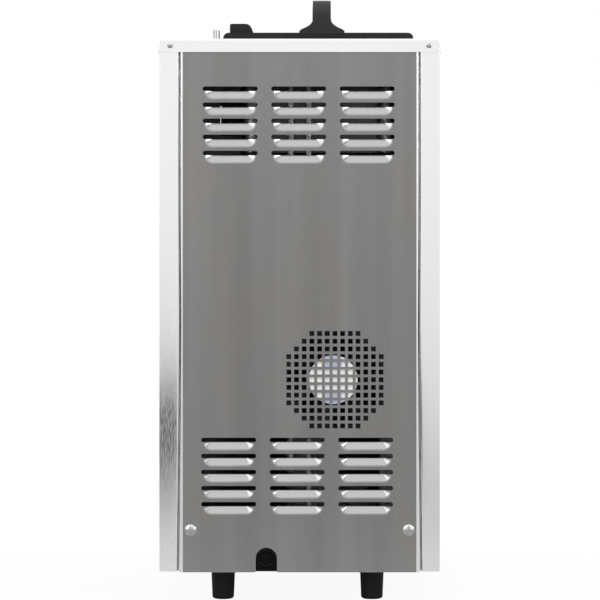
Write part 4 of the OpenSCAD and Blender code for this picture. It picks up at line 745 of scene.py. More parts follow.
def dress(node, width, segments=2, finish=None, sharp=SHARP):
    """Stands for one CAD node: its solid, welded, with edges rounded to a width in mm."""
    piece = frame["nodes"][node].copy()
    piece.data = piece.data.copy()
    piece.parent = None
    for key in [k for k in piece.keys() if k.startswith("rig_")]:
        del piece[key]
    bpy.context.scene.collection.objects.link(piece)
    piece.name = node + "_dressed"
    edit(piece)
    bpy.ops.mesh.remove_doubles(threshold=WELD)
    bpy.ops.mesh.dissolve_limited(angle_limit=math.radians(0.5))
    bpy.ops.object.mode_set(mode="OBJECT")
    bpy.ops.mesh.customdata_custom_splitnormals_clear()
    apply(piece, "BEVEL", width=width * MM, segments=segments, limit_method="ANGLE", angle_limit=sharp)
    smooth(piece, sharp)
    slot = slots[node]
    return hand_over(piece, frame["nodes"][node]["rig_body"], slot, node, finish=finish)


def corners(node):
    """The lowest and highest corner of a CAD node, in mm."""
    low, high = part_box(node)
    return low / MM, high / MM


print("solids are welded at", WELD / MM, "mm")

# %% [markdown]
# ## Folded steel
# The cabinet's walls are flat sheets with folded edges. Each is drawn as it looks from above, with an arc
# at every fold, pushed up to its height, and then thickened. The fold's radius matters more than anything
# else here: it is what puts the thin bright line along every vertical edge, and on the back panel that line
# is strengthened by a painted highlight.

# %% Folded sheet
SHEET = 1.2
FOLD = 2.0


def rounded(points, radius, steps=4):
    """An open or closed line of 2D points whose inner corners are arcs."""
    made = [points[0]]
    for before, corner, after in zip(points, points[1:], points[2:]):
        a = (Vector(before) - Vector(corner)).normalized()
        b = (Vector(after) - Vector(corner)).normalized()
        half = a.angle(b) / 2
        reach = radius / math.tan(half)
        centre = Vector(corner) + (a + b).normalized() * radius / math.sin(half)
        start, end = Vector(corner) + a * reach, Vector(corner) + b * reach
        for i in range(steps + 1):
            t = i / steps
            way = (start - centre).slerp(end - centre, t)
            made.append(tuple(centre + way.normalized() * radius))
    return made + [points[-1]]


def thick(piece, plan, thickness):
    """Solidifies towards the left of the plan's first stretch, whichever way the faces look."""
    (x0, y0), (x1, y1) = plan[:2]
    left = Vector((y0 - y1, x1 - x0, 0)).normalized()
    middle = Vector(((x0 + x1) / 2, (y0 + y1) / 2, 0)) * MM
    first = min(piece.data.polygons, key=lambda face: (face.center - middle).xy.length)
    offset = -1 if first.normal.dot(left) < 0 else 1
    apply(piece, "SOLIDIFY", thickness=thickness * MM, offset=offset, use_even_offset=True)
    edit(piece)
    bpy.ops.mesh.normals_make_consistent(inside=False)
    bpy.ops.object.mode_set(mode="OBJECT")


def folded_sheet(name, plan, heights, thickness=SHEET, radius=FOLD):
    """A sheet whose outer face follows a plan in X and Y, with a row of points at each height, in mm.

    Its thickness lies left of the plan."""
    line = rounded(plan, radius)
    piece = outline(name, [(x, y, heights[0]) for x, y in line], fill=False, closed=False)
    edit(piece)
    for lower, upper in zip(heights, heights[1:]):
        bpy.ops.mesh.extrude_region_move(TRANSFORM_OT_translate={"value": (0, 0, (upper - lower) * MM)})
    bpy.ops.object.mode_set(mode="OBJECT")
    thick(piece, plan, thickness)
    return piece


print("fold radius", FOLD, "mm on", SHEET, "mm sheet")

# %% [markdown]
# Real sheet isn't quite straight. The seam on either side of the back panel bows, and stands outwards by
# nearly three millimetres at the foot, so the sheets on both sides of it follow one curve.

# %% The seam's bow
SEAM_TOP, SEAM_LENGTH = 650, 600
SEAM_BOW, SEAM_LEAN, SEAM_INSET = 4.54, 1.19, 0.75


def seam_shift(z):
    """How far the seam beside the back panel stands out of straight at a height, in mm."""
    t = (SEAM_TOP - z) / SEAM_LENGTH
    return SEAM_BOW * t * t - SEAM_LEAN * t - SEAM_INSET


panel_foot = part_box("rear_panel")[0].z / MM


def flare(piece, chosen):
    """Moves the chosen points outwards by the seam's shift."""
    for vertex in piece.data.vertices:
        x, y, z = vertex.co / MM
        if chosen(abs(x), y):
            vertex.co.x += math.copysign(seam_shift(z), x) * MM


print("the seam stands", round(seam_shift(panel_foot), 1), "mm out at its foot")

# %% [markdown]
# ## Louvers
# A louver is cut and pressed in one stroke: a slot opens, and the metal below it is pushed inwards into a
# shallow scoop that keeps rain and fingers out. The scoop starts as a flat grid of the size of the patch
# that moves. Each of its points is then pressed in by a rule: a steady slope away from its rounded outline,
# with a soft lip where the sheet bends. One scoop is modelled, and every other one is a copy of it.

# %% One scoop
SLOT_LENGTH, SLOT_HEIGHT = 66.0, 5.4
SCOOP_HALF = 21.4
PRESS_RADIUS, PRESS_DEPTH = 9.3, 4.6
LIP = 0.5
PATCH_HALF, PATCH_LOW = 31.6, 10.2
SCOOP_WALL = 0.5
LOUVER_DX, LOUVER_DZ, LOUVER_ROWS = 82.3, 19.3, 5
UPPER_LOUVERS = (1.1, panel_foot + 500.2)
LOWER_LOUVERS = (2.9, panel_foot + 78.1)
SIDE_LOUVERS = (-49.5, panel_foot + 78.1)


def pressed_depth(x, z):
    """How far the sheet is pushed in at a point of the patch, in mm."""
    reach = math.hypot(max(abs(x) - SCOOP_HALF, 0), z)
    deep = PRESS_DEPTH * (1 - reach / PRESS_RADIUS)
    share = min(max(0.5 + 0.5 * deep / LIP, 0), 1)
    return deep * share + LIP * share * (1 - share)


END_COLUMNS, ROWS = 16, 14
bpy.ops.object.select_all(action="DESELECT")
bpy.ops.mesh.primitive_grid_add(x_subdivisions=2 * END_COLUMNS + 1, y_subdivisions=ROWS, size=2)
scoop = bpy.context.object
scoop.name = "scoop"
for vertex in scoop.data.vertices:
    column = round((vertex.co.x + 1) / 2 * (2 * END_COLUMNS + 1))
    from_end = min(column, 2 * END_COLUMNS + 1 - column)
    x = PATCH_HALF - (PATCH_HALF - SCOOP_HALF) * from_end / END_COLUMNS
    x = x if vertex.co.x > 0 else -x
    z = -PATCH_LOW * (1 - vertex.co.y) / 2
    vertex.co = Vector((x, -pressed_depth(x, z), z)) * MM
edit(scoop)
bpy.ops.mesh.normals_make_consistent(inside=False)
bpy.ops.object.mode_set(mode="OBJECT")
if scoop.data.polygons[0].normal.y < 0:
    edit(scoop)
    bpy.ops.mesh.flip_normals()
    bpy.ops.object.mode_set(mode="OBJECT")
apply(scoop, "SOLIDIFY", thickness=SCOOP_WALL * MM, offset=-1)
print("scoop:", len(scoop.data.polygons), "faces,", round(pressed_depth(0, 0), 2), "mm deep")

# %% [markdown]
# The hole that a louver leaves has one outline: the round-ended slot, and below it the patch that the
# scoop fills. Holes are cut with a boolean, all at once, by cutters that reach through the sheet.

# %% Louver holes and cutters
THROUGH = 4.0


def arc(cx, cz, radius, start, end, steps=10):
    """Points round a centre, from one angle to another in degrees."""
    turn = [math.radians(start + (end - start) * i / steps) for i in range(steps + 1)]
    return [(cx + radius * math.cos(a), cz + radius * math.sin(a)) for a in turn]


def round_hole(x, z, radius):
    """A ring of 24 points."""
    return arc(x, z, radius, 0, 345, 23)


def louver_outline():
    """The slot with its round ends, and the patch below it."""
    r = SLOT_HEIGHT / 2
    end = SLOT_LENGTH / 2 - r
    return ([(-PATCH_HALF, -PATCH_LOW), (PATCH_HALF, -PATCH_LOW), (PATCH_HALF, 0)]
            + arc(end, r, r, -90, 90) + arc(-end, r, r, 90, 270) + [(-PATCH_HALF, 0)])


def louver_spots(columns, middle, low):
    """The place of every slot's lower edge, across and up, in mm."""
    return [(middle + (i - (columns - 1) / 2) * LOUVER_DX, low + k * LOUVER_DZ)
            for i in range(columns) for k in range(LOUVER_ROWS)]


def prism(name, shape, y):
    """A cutter with an outline in X and Z that reaches through a sheet at y."""
    return push(outline(name, [(x, y + THROUGH, z) for x, z in shape]), (0, -2 * THROUGH, 0))


def cut(piece, cutters):
    """Cuts all the cutters out of the piece, and removes them."""
    tool = join("cutters", cutters)
    apply(piece, "BOOLEAN", object=tool, operation="DIFFERENCE", solver="EXACT")
    bpy.data.objects.remove(tool)
    return piece


rear_louvers = louver_spots(3, *UPPER_LOUVERS) + louver_spots(3, *LOWER_LOUVERS)
print("louvers in the rear panel:", len(rear_louvers))

# %% [markdown]
# ## The rear panel
# A shallow channel of brushed sheet with thirty louvers, a square-punched vent over the fan, a notch for
# the cord's gland and two screw holes. The sheet is folded first, then the holes are cut and their upright
# edges broken, and the scoops are joined in last.

# %% Rear panel
low, high = corners("rear_panel")
PANEL_Y = high.y
VENT_X, VENT_Z, VENT_HOLE, VENT_PITCH, VENT_REACH = -42.5, low.z + 230.4, 5.9, 9.25, 9
SCREW_X, SCREW_Z, SCREW_HOLE = 131.0, low.z + 49.5, 2.3
RIM, RIM_REACH, RIMS_FROM = 1.0, 6.5, low.z + 60
PANEL_DROP = 1.0
FOLD_REACH, FOLD_CLEAR = 5, 8
SEAM_ROWS = [panel_foot + h for h in (166, 300, 400, 482)]
NOTCH_X, NOTCH_WIDTH, NOTCH_HEIGHT = 40.0, 26.2, 28.8
channel = [(high.x, low.y), (high.x, high.y), (low.x, high.y), (low.x, low.y)]
rear_panel = folded_sheet("rear_panel_sheet", channel, [low.z - PANEL_DROP] + SEAM_ROWS + [high.z])
flare(rear_panel, lambda x, y: x > high.x - FOLD_REACH)
louver = prism("louver_cutter", louver_outline(), PANEL_Y)
cutters = [copy_piece(louver, (x, 0, z)) for x, z in rear_louvers]
bpy.data.objects.remove(louver)
print("rear panel's sheet:", [round(v, 1) for v in high - low], "mm")

# %% [markdown]
# The vent is a square of small square holes whose corners are cut off aslant, so that it follows the round
# fan. In steps of the pitch, a hole is there when its two distances from the middle add up to nine or less.

# %% Vent, notch and screw holes
VENT_STEPS = 6
side = VENT_HOLE / 2
square = prism("vent_cutter", [(-side, -side), (side, -side), (side, side), (-side, side)], PANEL_Y)
steps = range(-VENT_STEPS, VENT_STEPS + 1)
for i in steps:
    for k in steps:
        if abs(i) + abs(k) <= VENT_REACH:
            cutters.append(copy_piece(square, (VENT_X + i * VENT_PITCH, 0, VENT_Z + k * VENT_PITCH)))
bpy.data.objects.remove(square)
half = NOTCH_WIDTH / 2
crown = low.z + NOTCH_HEIGHT - half
notch_foot = [(NOTCH_X - half, low.z - 5), (NOTCH_X + half, low.z - 5)]
cutters.append(prism("notch_cutter", notch_foot + arc(NOTCH_X, crown, half, 0, 180, 24), PANEL_Y))
for x in (SCREW_X, -SCREW_X):
    cutters.append(prism("screw_cutter", round_hole(x, SCREW_Z, SCREW_HOLE), PANEL_Y))
print("cutters for the rear panel:", len(cutters))
cut(rear_panel, cutters)

# %% [markdown]
# A punched hole's upright edges are broken by the press and catch a little light, to which the panel's finish
# adds a painted highlight. So these alone get a flat bevel: short upright edges on the outer face, away from
# the folds and from the notch.

# %% Broken edges and scoops
inside = high.x - FOLD_CLEAR


def broken_by_the_press(a, b):
    """Whether an edge from a to b is a short upright one on the panel's outer face."""
    on_face = min(a.y, b.y) > PANEL_Y - 0.01 and abs(a.x) < inside
    upright = abs(a.z - b.z) > abs(a.x - b.x)
    return on_face and upright and min(a.z, b.z) > RIMS_FROM and (a - b).length < RIM_REACH


pick_edges(rear_panel, broken_by_the_press)
bpy.ops.mesh.bevel(offset=RIM * MM, segments=1, clamp_overlap=True)
back_to_object()
scoops = [copy_piece(scoop, (x, PANEL_Y, z)) for x, z in rear_louvers]
rear_panel = join("rear_panel_sheet", scoops + [rear_panel])
smooth(rear_panel)
hand_over(rear_panel, "cabinet", "panel_steel", "rear_panel", finish="rear_panel")
print("rear panel:", len(rear_panel.data.polygons), "faces")

# %% [markdown]
# ## The side panels
# Each side panel wraps round to the back and to the front, where its edge is folded in twice. The polished
# strip beside the back panel is this return. Ten louvers on each side let the condenser breathe.

# %% Side panels
low, high = corners("side_panel_left")
RETURN, FOLD_DEPTH = 24.0, 12.0
COVER_SCREW_X, COVER_SCREW_HOLE = 155.5, 1.8
cover_screw_z = sum(c.z for c in corners("cover_screws")) / 2
inner = high.x - RETURN
plan = [(inner, low.y + FOLD_DEPTH), (inner, low.y), (high.x, low.y),
        (high.x, high.y), (inner, high.y), (inner, high.y - FOLD_DEPTH)]
mirrored = [(-x, y) for x, y in reversed(plan)]
for side_name, sign, walk in (("left", 1, plan), ("right", -1, mirrored)):
    panel = folded_sheet(f"side_panel_{side_name}_sheet", walk, [low.z] + SEAM_ROWS + [high.z])
    flare(panel, lambda x, y: x < inner + FOLD_REACH and y > high.y - FOLD_DEPTH - 1)
    louver = prism("louver_cutter", louver_outline(), 0)
    spots = [(sign * high.x, y, z) for y, z in louver_spots(2, *SIDE_LOUVERS)]
    cutters = [copy_piece(louver, spot, turn=-90 * sign) for spot in spots]
    bpy.data.objects.remove(louver)
    hole = round_hole(sign * COVER_SCREW_X, cover_screw_z, COVER_SCREW_HOLE)
    cutters += [prism("screw_cutter", hole, y) for y in (low.y, high.y)]
    cut(panel, cutters)
    scoops = [copy_piece(scoop, spot, turn=-90 * sign) for spot in spots]
    panel = smooth(join(panel.name, scoops + [panel]))
    hand_over(panel, "cabinet", "bright_steel", f"side_panel_{side_name}")
bpy.data.objects.remove(scoop)
print("side panels:", round(high.x * 2, 1), "mm apart, ten louvers each")

# %% [markdown]
# ## The top cover
# A shallow box with its opening downwards: a block loses its underside, its edges are rounded, and the
# shell gets its thickness. The hopper, the screws and the pin each need their hole.

# %% Top cover
low, high = corners("top_cover")
COVER_EDGE = 1.6


def round_rect(w, h, r, cx=0, cy=0, steps=8):
    """A rectangle with round corners, counter-clockwise from its lower right corner."""
    x, y = w / 2 - r, h / 2 - r
    spots = [(x, -y, -90), (x, y, 0), (-x, y, 90), (-x, -y, 180)]
    return [p for px, py, a in spots for p in arc(cx + px, cy + py, r, a, a + 90, steps)]


def plan_prism(name, shape, z0, z1):
    """A cutter with an outline in X and Y, from one height to another."""
    return push(outline(name, [(x, y, z0) for x, y in shape]), (0, 0, z1 - z0))


cover = box_between("top_cover_sheet", low, high)
pick_faces(cover, lambda centre, normal: normal.z < -0.5)
bpy.ops.mesh.delete(type="FACE")
back_to_object()
pick_edges(cover, lambda a, b: a.z > low.z + 1 or b.z > low.z + 1)
bpy.ops.mesh.bevel(offset=COVER_EDGE * MM, segments=4)
back_to_object()
apply(cover, "SOLIDIFY", thickness=SHEET * MM, offset=-1)
hopper_low, hopper_high = corners("hopper")
RIM_WIDTH, DROP_GAP, HOPPER_CORNER, PIN_HOLE = 10.0, 0.5, 26.0, 2.3
hopper_mid = (hopper_low + hopper_high) / 2
tub = hopper_high - hopper_low - Vector((2, 2, 0)) * (RIM_WIDTH - DROP_GAP)
pin_low, pin_high = corners("cover_pin")
pin = (pin_low + pin_high) / 2
tub_hole = round_rect(tub.x, tub.y, HOPPER_CORNER, hopper_mid.x, hopper_mid.y)
cutters = [
    plan_prism("tub_cutter", tub_hole, high.z - 5, high.z + 5),
    plan_prism("pin_cutter", round_hole(pin.x, pin.y, PIN_HOLE), high.z - 5, high.z + 5)]
for sign in (1, -1):
    hole = round_hole(sign * COVER_SCREW_X, cover_screw_z, COVER_SCREW_HOLE)
    cutters += [prism("screw_cutter", hole, y) for y in (low.y, high.y)]
cut(cover, cutters)
hand_over(smooth(cover), "cabinet", "bright_steel", "top_cover")
print("cover:", [round(v, 1) for v in high - low])

# %% [markdown]
# ## Feet
# A foot is turned like a chess piece: its half outline is drawn once and swept round its own axis. The tip
# is domed round a small flat, which is what stands on the table. The four are one piece.

# %% Feet
def turned(name, profile, axis="Z", closed=False, steps=64):
    """A line of (radius, place) points in mm, swept round the Z or the Y axis into a closed solid."""
    piece = outline(name, [(r, 0, at) for r, at in profile], fill=False, closed=closed)
    apply(piece, "SCREW", angle=math.tau, steps=steps, render_steps=steps, use_merge_vertices=True,
          merge_threshold=1e-6)
    edit(piece)
    bpy.ops.mesh.remove_doubles(threshold=WELD)
    bpy.ops.mesh.normals_make_consistent(inside=False)
    bpy.ops.object.mode_set(mode="OBJECT")
    if axis == "Y":
        piece.data.transform(Matrix.Rotation(math.radians(-90), 4, "X"))
    return piece


low, high = corners("feet")
FOOT_TOP, FOOT_TIP, FOOT_FLAT, FOOT_DOME, STUD = 14.5, 13.0, 7.0, 3.0, 4.0
foot_height = corners("base_pan")[0].z
dome = [(FOOT_FLAT + (FOOT_TIP - FOOT_FLAT) * math.sin(a), FOOT_DOME * (1 - math.cos(a)))
        for a in (math.radians(11.25 * i) for i in range(9))]
flank = [(FOOT_TIP + 0.15, FOOT_DOME + 0.8), (FOOT_TOP, foot_height - 0.8), (FOOT_TOP - 0.8, foot_height)]
stud = [(STUD, foot_height), (STUD, high.z), (0, high.z)]
foot = turned("foot", [(0, 0)] + dome + flank + stud)
feet = [copy_piece(foot, (x, y, 0)) for x in (low.x + FOOT_TOP, high.x - FOOT_TOP)
        for y in (low.y + FOOT_TOP, high.y - FOOT_TOP)]
bpy.data.objects.remove(foot)
hand_over(smooth(join("rubber_feet", feet)), "cabinet", "rubber", "feet")
print("feet:", round(foot_height, 1), "mm tall")

# %% [markdown]
# ## The cord's gland
# The gland has a flange that fills the notch, a ring whose face is cut like a castle's wall for a spanner,
# and a bore that runs right through its shank. The ring is turned about the bore's axis, and twelve blocks
# cut its face.

# %% Gland
GLAND_X, GLAND_Z = 40.0, panel_foot + 15.7
FLANGE_GAP, FLANGE, GLAND_TEETH = 0.3, 1.0, 12
wall = PANEL_Y - SHEET
half = NOTCH_WIDTH / 2 - FLANGE_GAP
shape = [(GLAND_X - half, panel_foot + FLANGE_GAP), (GLAND_X + half, panel_foot + FLANGE_GAP)]
shape += arc(GLAND_X, crown, half, 0, 180, 24)
flange = push(outline("gland_flange", [(x, wall, z) for x, z in shape]), (0, FLANGE, 0))
apply(flange, "BEVEL", width=0.2 * MM, segments=2, limit_method="ANGLE", angle_limit=SHARP)
ring = turned("gland_ring", [
    (5.5, -15.5), (9, -15.5), (9, 0), (12, 0), (12, 1.2), (11.7, 2.1), (10.9, 2.9), (9.9, 3.2), (8.9, 2.9),
    (8.1, 2.1), (7.4, 1.1), (6.4, 0.1), (5.5, -0.9)], axis="Y", closed=True)
tooth = box_between("gland_tooth", (9.4, 1.4, -0.9), (13, 4.5, 0.9))
cut(ring, [copy_piece(tooth, (0, 0, 0), turn=360 / GLAND_TEETH * i, axis="Y") for i in range(GLAND_TEETH)])
bpy.data.objects.remove(tooth)
apply(ring, "BEVEL", width=0.15 * MM, segments=1, limit_method="ANGLE", angle_limit=SHARP)
ring.data.transform(Matrix.Translation(Vector((GLAND_X, wall, GLAND_Z)) * MM))
gland = smooth(join("gland", [ring, flange]))
# The gland's darker moulding is painted shade.
hand_over(gland, "cabinet", "black_plastic", "cord_gland", finish="shaded_gland_plastic")
print("gland:", len(gland.data.polygons), "faces")

# %% [markdown]
# ## The fan's hub
# Behind the vent the fan's hub shows as a white disc. Its label is bare, with a pale blue band.

# %% Hub disc
HUB_RADIUS, HUB_BACK, HUB_DISC, HUB_CHAMFER = 29.3, 2.0, 0.4, 0.15
HUB_X = VENT_X + 2.2
fan_back = corners("rear_fan_frame")[1].y
hub_face = fan_back - HUB_BACK
half_outline = [(0, 0), (HUB_RADIUS, 0), (HUB_RADIUS, HUB_DISC - HUB_CHAMFER),
                (HUB_RADIUS - HUB_CHAMFER, HUB_DISC), (0, HUB_DISC)]
disc = turned("hub_disc", half_outline, axis="Y", steps=96)
disc.data.transform(Matrix.Translation(Vector((HUB_X, hub_face, VENT_Z)) * MM))
print("hub disc:", 2 * HUB_RADIUS, "mm across")

# %% [markdown]
# The label is printed in one ink. Its band fades over the middle of the disc, and the print is slightly
# uneven. So little light comes through the vent that the label is given a faint glow of its own.

# %% Hub label
BAND_HALF, BAND_CLEAR, BAND_EDGE = 10.5, 15.0, 0.3
PAPER, INK = (0.9, 0.9, 0.89), (0.27, 0.34, 0.62)
finish, tree, shader = new_finish("hub_label", PAPER, 0.45, emission_strength=0.2)
shader.inputs["Emission Color"].default_value = (1, 1, 1, 1)
at = surface_point(tree)
across = distance_from(tree, at["X"], HUB_X * MM)
up = distance_from(tree, at["Z"], VENT_Z * MM)
inside_band = remap(tree, across, (BAND_HALF - BAND_EDGE) * MM, (BAND_HALF + BAND_EDGE) * MM, 1.0, 0.0)
past_middle = remap(tree, up, (BAND_CLEAR - BAND_EDGE) * MM, (BAND_CLEAR + BAND_EDGE) * MM, 0.2, 1.0)
printed = object_pattern(tree, "ShaderNodeTexNoise", (400, 400, 400), "Fac", scale=1.0, detail=2.0)
band = calculate(tree, "MULTIPLY", inside_band, past_middle)
share = calculate(tree, "MULTIPLY", band, remap(tree, printed, 0.3, 0.7, 0.85, 1.0))
tree.links.new(tint(tree, share, PAPER, INK), shader.inputs["Base Color"])
finishes["hub_label"] = finish
hand_over(smooth(disc), "cabinet", "white_plastic", finish="hub_label")
print("label band:", 2 * BAND_HALF, "mm wide")

# %% [markdown]
# ## The two panel screws
# A low dome on a shank, with one upright slot cut across it.

# %% Panel screws
HEAD_RADIUS, HEAD_EDGE, HEAD_DOME, SHANK, SHANK_LENGTH = 7.0, 0.4, 2.2, 2.0, 10.0
SLOT_WIDTH, SLOT_DEPTH = 1.5, 1.1
ball = (HEAD_RADIUS ** 2 + HEAD_DOME ** 2) / (2 * HEAD_DOME)
steps = [HEAD_RADIUS * i / 10 for i in range(11)]
head = [(r, HEAD_EDGE + HEAD_DOME - ball + math.sqrt(ball ** 2 - r ** 2)) for r in steps]
shank = [(HEAD_RADIUS, 0), (SHANK, 0), (SHANK, -SHANK_LENGTH), (0, -SHANK_LENGTH)]
screw = turned("panel_screw", head + shank, axis="Y")
top = HEAD_EDGE + HEAD_DOME
slot_low, slot_high = (-SLOT_WIDTH / 2, top - SLOT_DEPTH, -9), (SLOT_WIDTH / 2, top + 2, 9)
cut(screw, [box_between("slot_cutter", slot_low, slot_high)])
apply(screw, "BEVEL", width=0.12 * MM, segments=2, limit_method="ANGLE", angle_limit=SHARP)
screws = [copy_piece(screw, (x, PANEL_Y, SCREW_Z)) for x in (SCREW_X, -SCREW_X)]
bpy.data.objects.remove(screw)
hand_over(smooth(join("domed_screws", screws)), "cabinet", "screw_steel", "rear_panel_screws")
print("panel screws at", SCREW_X, "mm on either side")

# %% [markdown]
# ## The hopper's lid
# The lid is a moulded tray turned upside down. Its two ends are well rounded, and it is hollow: a deep
# hollow over the tub and a shallow one that leaves a wall round the hopper's rim.

# %% Lid
low, high = corners("hopper_lid")
LID_CORNER, LID_EDGE, LID_WALL, LID_ROOF = 12.0, 6.5, 3.0, 3.0
middle, size = (low + high) / 2, high - low
lid = plan_prism("lid", round_rect(size.x, size.y, LID_CORNER, middle.x, middle.y), low.z, high.z)
ends = size.x / 2 - LID_EDGE
past, below = ends + LID_EDGE + 2, -LID_EDGE - 3
end_view = ([(-past, -30), (past, -30), (past, below)]
            + arc(ends, -LID_EDGE, LID_EDGE, 0, 90, 8) + arc(-ends, -LID_EDGE, LID_EDGE, 90, 180, 8)
            + [(-past, below)])
ends_block = push(outline("lid_ends", [(middle.x + x, low.y - 5, high.z + z) for x, z in end_view]),
                  (0, size.y + 10, 0))
apply(lid, "BOOLEAN", object=ends_block, operation="INTERSECT", solver="EXACT")
bpy.data.objects.remove(ends_block)
seat = corners("hopper_gasket")[1].z
well = hopper_high - hopper_low - Vector((2, 2, 0)) * RIM_WIDTH
inner_x, inner_y = size.x - 2 * LID_WALL, size.y - 2 * LID_WALL
shallow = round_rect(inner_x, inner_y, LID_CORNER - LID_WALL, middle.x, middle.y)
deep = round_rect(well.x, well.y, HOPPER_CORNER, middle.x, middle.y)
cut(lid, [plan_prism("wall_cutter", shallow, low.z - 5, seat),
          plan_prism("well_cutter", deep, low.z - 6, high.z - LID_ROOF)])
apply(lid, "BEVEL", width=0.9 * MM, segments=3, limit_method="ANGLE", angle_limit=SHARP)
hand_over(smooth(lid), frame["nodes"]["hopper_lid"]["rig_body"], slots["hopper_lid"], "hopper_lid")
print("lid:", [round(v, 1) for v in size])

# %% [markdown]
# The handle is an arch, seen end-on from the back: a straight bar that runs out into a wide, thin foot. Two
# blocks make it. One has the end view's outline and one the side view's, and the handle is what they share.

# %% Handle
low, high = corners("lid_handle")
middle = (low + high) / 2
BAR_HALF, BAR_EDGE = 11.3, 2.2
ARCH_CORNER, ARCH_BAR, ARCH_INNER, ARCH_FOOT = 20.0, 15.0, 9.0, 23.0
foot_curve = [(28.5, 0), (28.5, 9.4), (25.4, 11.6), (21.8, 13.1), (18.4, 14.8), (15.6, 16.7), (13.3, 18.9),
              (11.9, 21.4), (BAR_HALF, 25.0)]
tall = high.z - low.z
right = foot_curve + arc(BAR_HALF - BAR_EDGE, tall - BAR_EDGE, BAR_EDGE, 0, 90, 5)
end_view = right + [(-x, z) for x, z in reversed(right)]
end_points = [(middle.x + x, low.y, low.z + z) for x, z in end_view]
handle = push(outline("handle", end_points), (0, high.y - low.y, 0))


def side_block(name, shape):
    """A block with an outline in Y and Z, wider than the handle."""
    return push(outline(name, [(middle.x - 40, y, z) for y, z in shape]), (80, 0, 0))


top, bottom = high.z, low.z
over = (arc(high.y - ARCH_CORNER, top - ARCH_CORNER, ARCH_CORNER, 0, 90, 10)
        + arc(low.y + ARCH_CORNER, top - ARCH_CORNER, ARCH_CORNER, 90, 180, 10))
arch = side_block("arch", [(high.y, bottom - 5)] + over + [(low.y, bottom - 5)])
apply(handle, "BOOLEAN", object=arch, operation="INTERSECT", solver="EXACT")
bpy.data.objects.remove(arch)
y0, y1, roof = low.y + ARCH_FOOT, high.y - ARCH_FOOT, top - ARCH_BAR
gap = (arc(y1 - ARCH_INNER, roof - ARCH_INNER, ARCH_INNER, 0, 90, 8)
       + arc(y0 + ARCH_INNER, roof - ARCH_INNER, ARCH_INNER, 90, 180, 8))
cut(handle, [side_block("gap_cutter", [(y1, bottom - 5)] + gap + [(y0, bottom - 5)])])
apply(handle, "BEVEL", width=1.0 * MM, segments=3, limit_method="ANGLE", angle_limit=SHARP)
hand_over(smooth(handle), frame["nodes"]["lid_handle"]["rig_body"], slots["lid_handle"], "lid_handle",
          finish="handle_plastic")
print("handle:", len(handle.data.polygons), "faces")

# %% [markdown]
# The catch block is a small moulding with one straight end and one that slopes away in a curve. The pin and
# the cover's screws are right as they come, and only lose their sharp edges.

# %% Catch block, pin and cover screws
low, high = corners("lid_catch_block")
CATCH_SHIFT, CATCH_NOSE = 1.5, 1.4
tall = high.z - low.z
shape = [(-CATCH_SHIFT, 0), (-CATCH_SHIFT, tall - CATCH_NOSE), (-CATCH_SHIFT - CATCH_NOSE, tall),
         (-21.5, tall), (-24.6, tall - 0.9), (-26.8, tall - 2.8), (-28.6, tall - 6), (-30.6, 0)]
block = push(outline("catch", [(high.x + x, low.y, low.z + z) for x, z in shape]), (0, high.y - low.y, 0))
apply(block, "BEVEL", width=0.9 * MM, segments=3, limit_method="ANGLE", angle_limit=SHARP)
lid_body = frame["nodes"]["lid_catch_block"]["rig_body"]
hand_over(smooth(block), lid_body, slots["lid_catch_block"], "lid_catch_block")
dress("cover_pin", 0.4, 2, finish="screw_steel")
dress("cover_screws", 0.15, 2)
print("catch block:", round(tall, 1), "mm high")

# %% [markdown]
# ## The front
# The front is the working side: the dispensing door with its four knobs, the lever with its grip, the star
# nozzle, and below them the drip tray with its grid.

# %% Door, lever and tray
EDGES_IN_FRONT = [
    ("front_panel", 0.4, 2), ("dispense_door", 1.5, 3), ("door_knobs", 1.5, 3), ("draw_lever", 1.0, 3),
    ("lever_grip", 1.0, 3), ("lever_pin", 0.4, 2), ("star_nozzle", 0.4, 2), ("tray_bracket", 0.3, 1),
    ("drip_tray", 0.8, 2), ("drip_tray_grid", 0.3, 1)]
for node, width, rounds in EDGES_IN_FRONT:
    dress(node, width, rounds)
print("dressed in front:", [row[0] for row in EDGES_IN_FRONT])

# %% [markdown]
# ## The controls
# The control panel holds a tinted window, three buttons and the power switch. They are the CAD's solids
# with their edges rounded.

# %% Control pieces
for node, width in (("control_panel", 0.6), ("display_window", 0.4), ("button_auto", 0.6),
                    ("button_wash", 0.6), ("button_stop", 0.6), ("power_rocker", 0.5)):
    dress(node, width)
print("dressed: the control panel, its window, three buttons and the switch")

# %% [markdown]
# The window shows a plain red number. Each figure is a set of lit bars out of the seven that such a display
# has. They lie on the window's face, where they look as if they were lit from behind.

# %% Display digits
DIGIT_W, DIGIT_H, DIGIT_GAP, BAR, RAISED = 8.0, 15.0, 5, 1.6, 0.12
BARS = {"top": (0, 1, 0), "middle": (0, 0, 0), "bottom": (0, -1, 0), "upper left": (-1, 0.5, 1),
        "upper right": (1, 0.5, 1), "lower left": (-1, -0.5, 1), "lower right": (1, -0.5, 1)}
SHOWN = [("upper right", "lower right"),
         ("top", "middle", "bottom", "upper left", "upper right", "lower left", "lower right")]


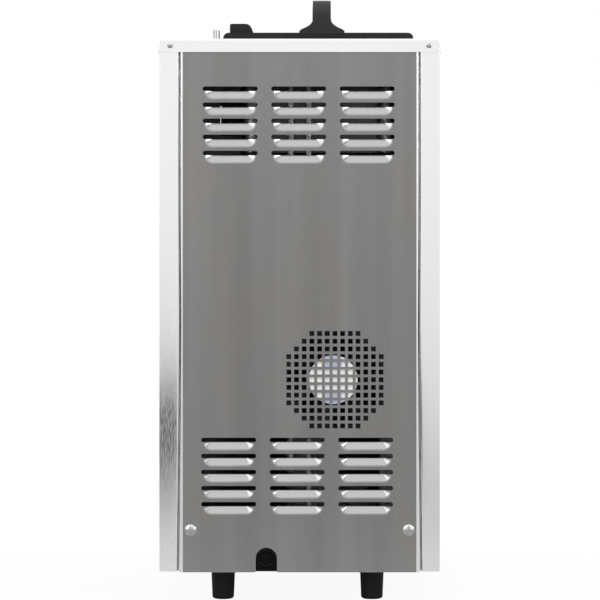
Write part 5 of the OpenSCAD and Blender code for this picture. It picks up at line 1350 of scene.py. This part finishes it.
def digit_bar(x, z, sideways, upward, upright, face):
    """One lit bar of a digit whose middle is at x and z, on a face that looks along -Y."""
    cx, cz = x + sideways * DIGIT_W / 2, z + upward * DIGIT_H / 2
    long, wide = (DIGIT_H / 2 - BAR) / 2, BAR / 2
    w, h = (wide, long) if upright else (DIGIT_W / 2 - BAR / 2, wide)
    return box_between("bar", (cx - w, face - RAISED, cz - h), (cx + w, face + 0.3, cz + h))


low, high = corners("display_window")
middle = (low + high) / 2
bars = []
for i, lit in enumerate(SHOWN):
    x = middle.x + (i - 0.5) * (DIGIT_W + DIGIT_GAP)
    bars += [digit_bar(x, middle.z, *BARS[name], low.y) for name in lit]
hand_over(join("display_digits", bars), "cabinet", "button_plastic", finish="segment")
print("digits:", len(bars), "bars")

# %% [markdown]
# Each button carries a slightly raised mark: a ring, three bars or a square. A mark rides on its button, so
# that it goes in when the button is pressed.

# %% Button marks
SUNK = 0.2
RING_INNER, RING_OUTER = 3.2, 4.2
BAR_REACH, BAR_THICK, BAR_STEP = 3.5, 0.5, 2.4
SQUARE = 3


def flat_mark(x, z, face, reach, rise):
    """A flat block on a button's face, raised a little and sunk a little."""
    return box_between("mark", (x - reach, face - RAISED, z - rise), (x + reach, face + SUNK, z + rise))


for name in ("auto", "wash", "stop"):
    low, high = corners(f"button_{name}")
    x, z, face = (low.x + high.x) / 2, (low.z + high.z) / 2, low.y
    if name == "auto":
        section = [(RING_INNER, SUNK), (RING_OUTER, SUNK), (RING_OUTER, -RAISED), (RING_INNER, -RAISED)]
        mark = turned("mark", section, axis="Y", closed=True)
        mark.data.transform(Matrix.Translation(Vector((x, face, z)) * MM))
    elif name == "wash":
        heights = (z - BAR_STEP, z, z + BAR_STEP)
        mark = join("mark", [flat_mark(x, at_z, face, BAR_REACH, BAR_THICK) for at_z in heights])
    else:
        mark = flat_mark(x, z, face, SQUARE, SQUARE)
    mark.name = f"{name}_mark"
    hand_over(mark, f"button_{name}", "black_plastic")
print("marks raised by", RAISED, "mm")
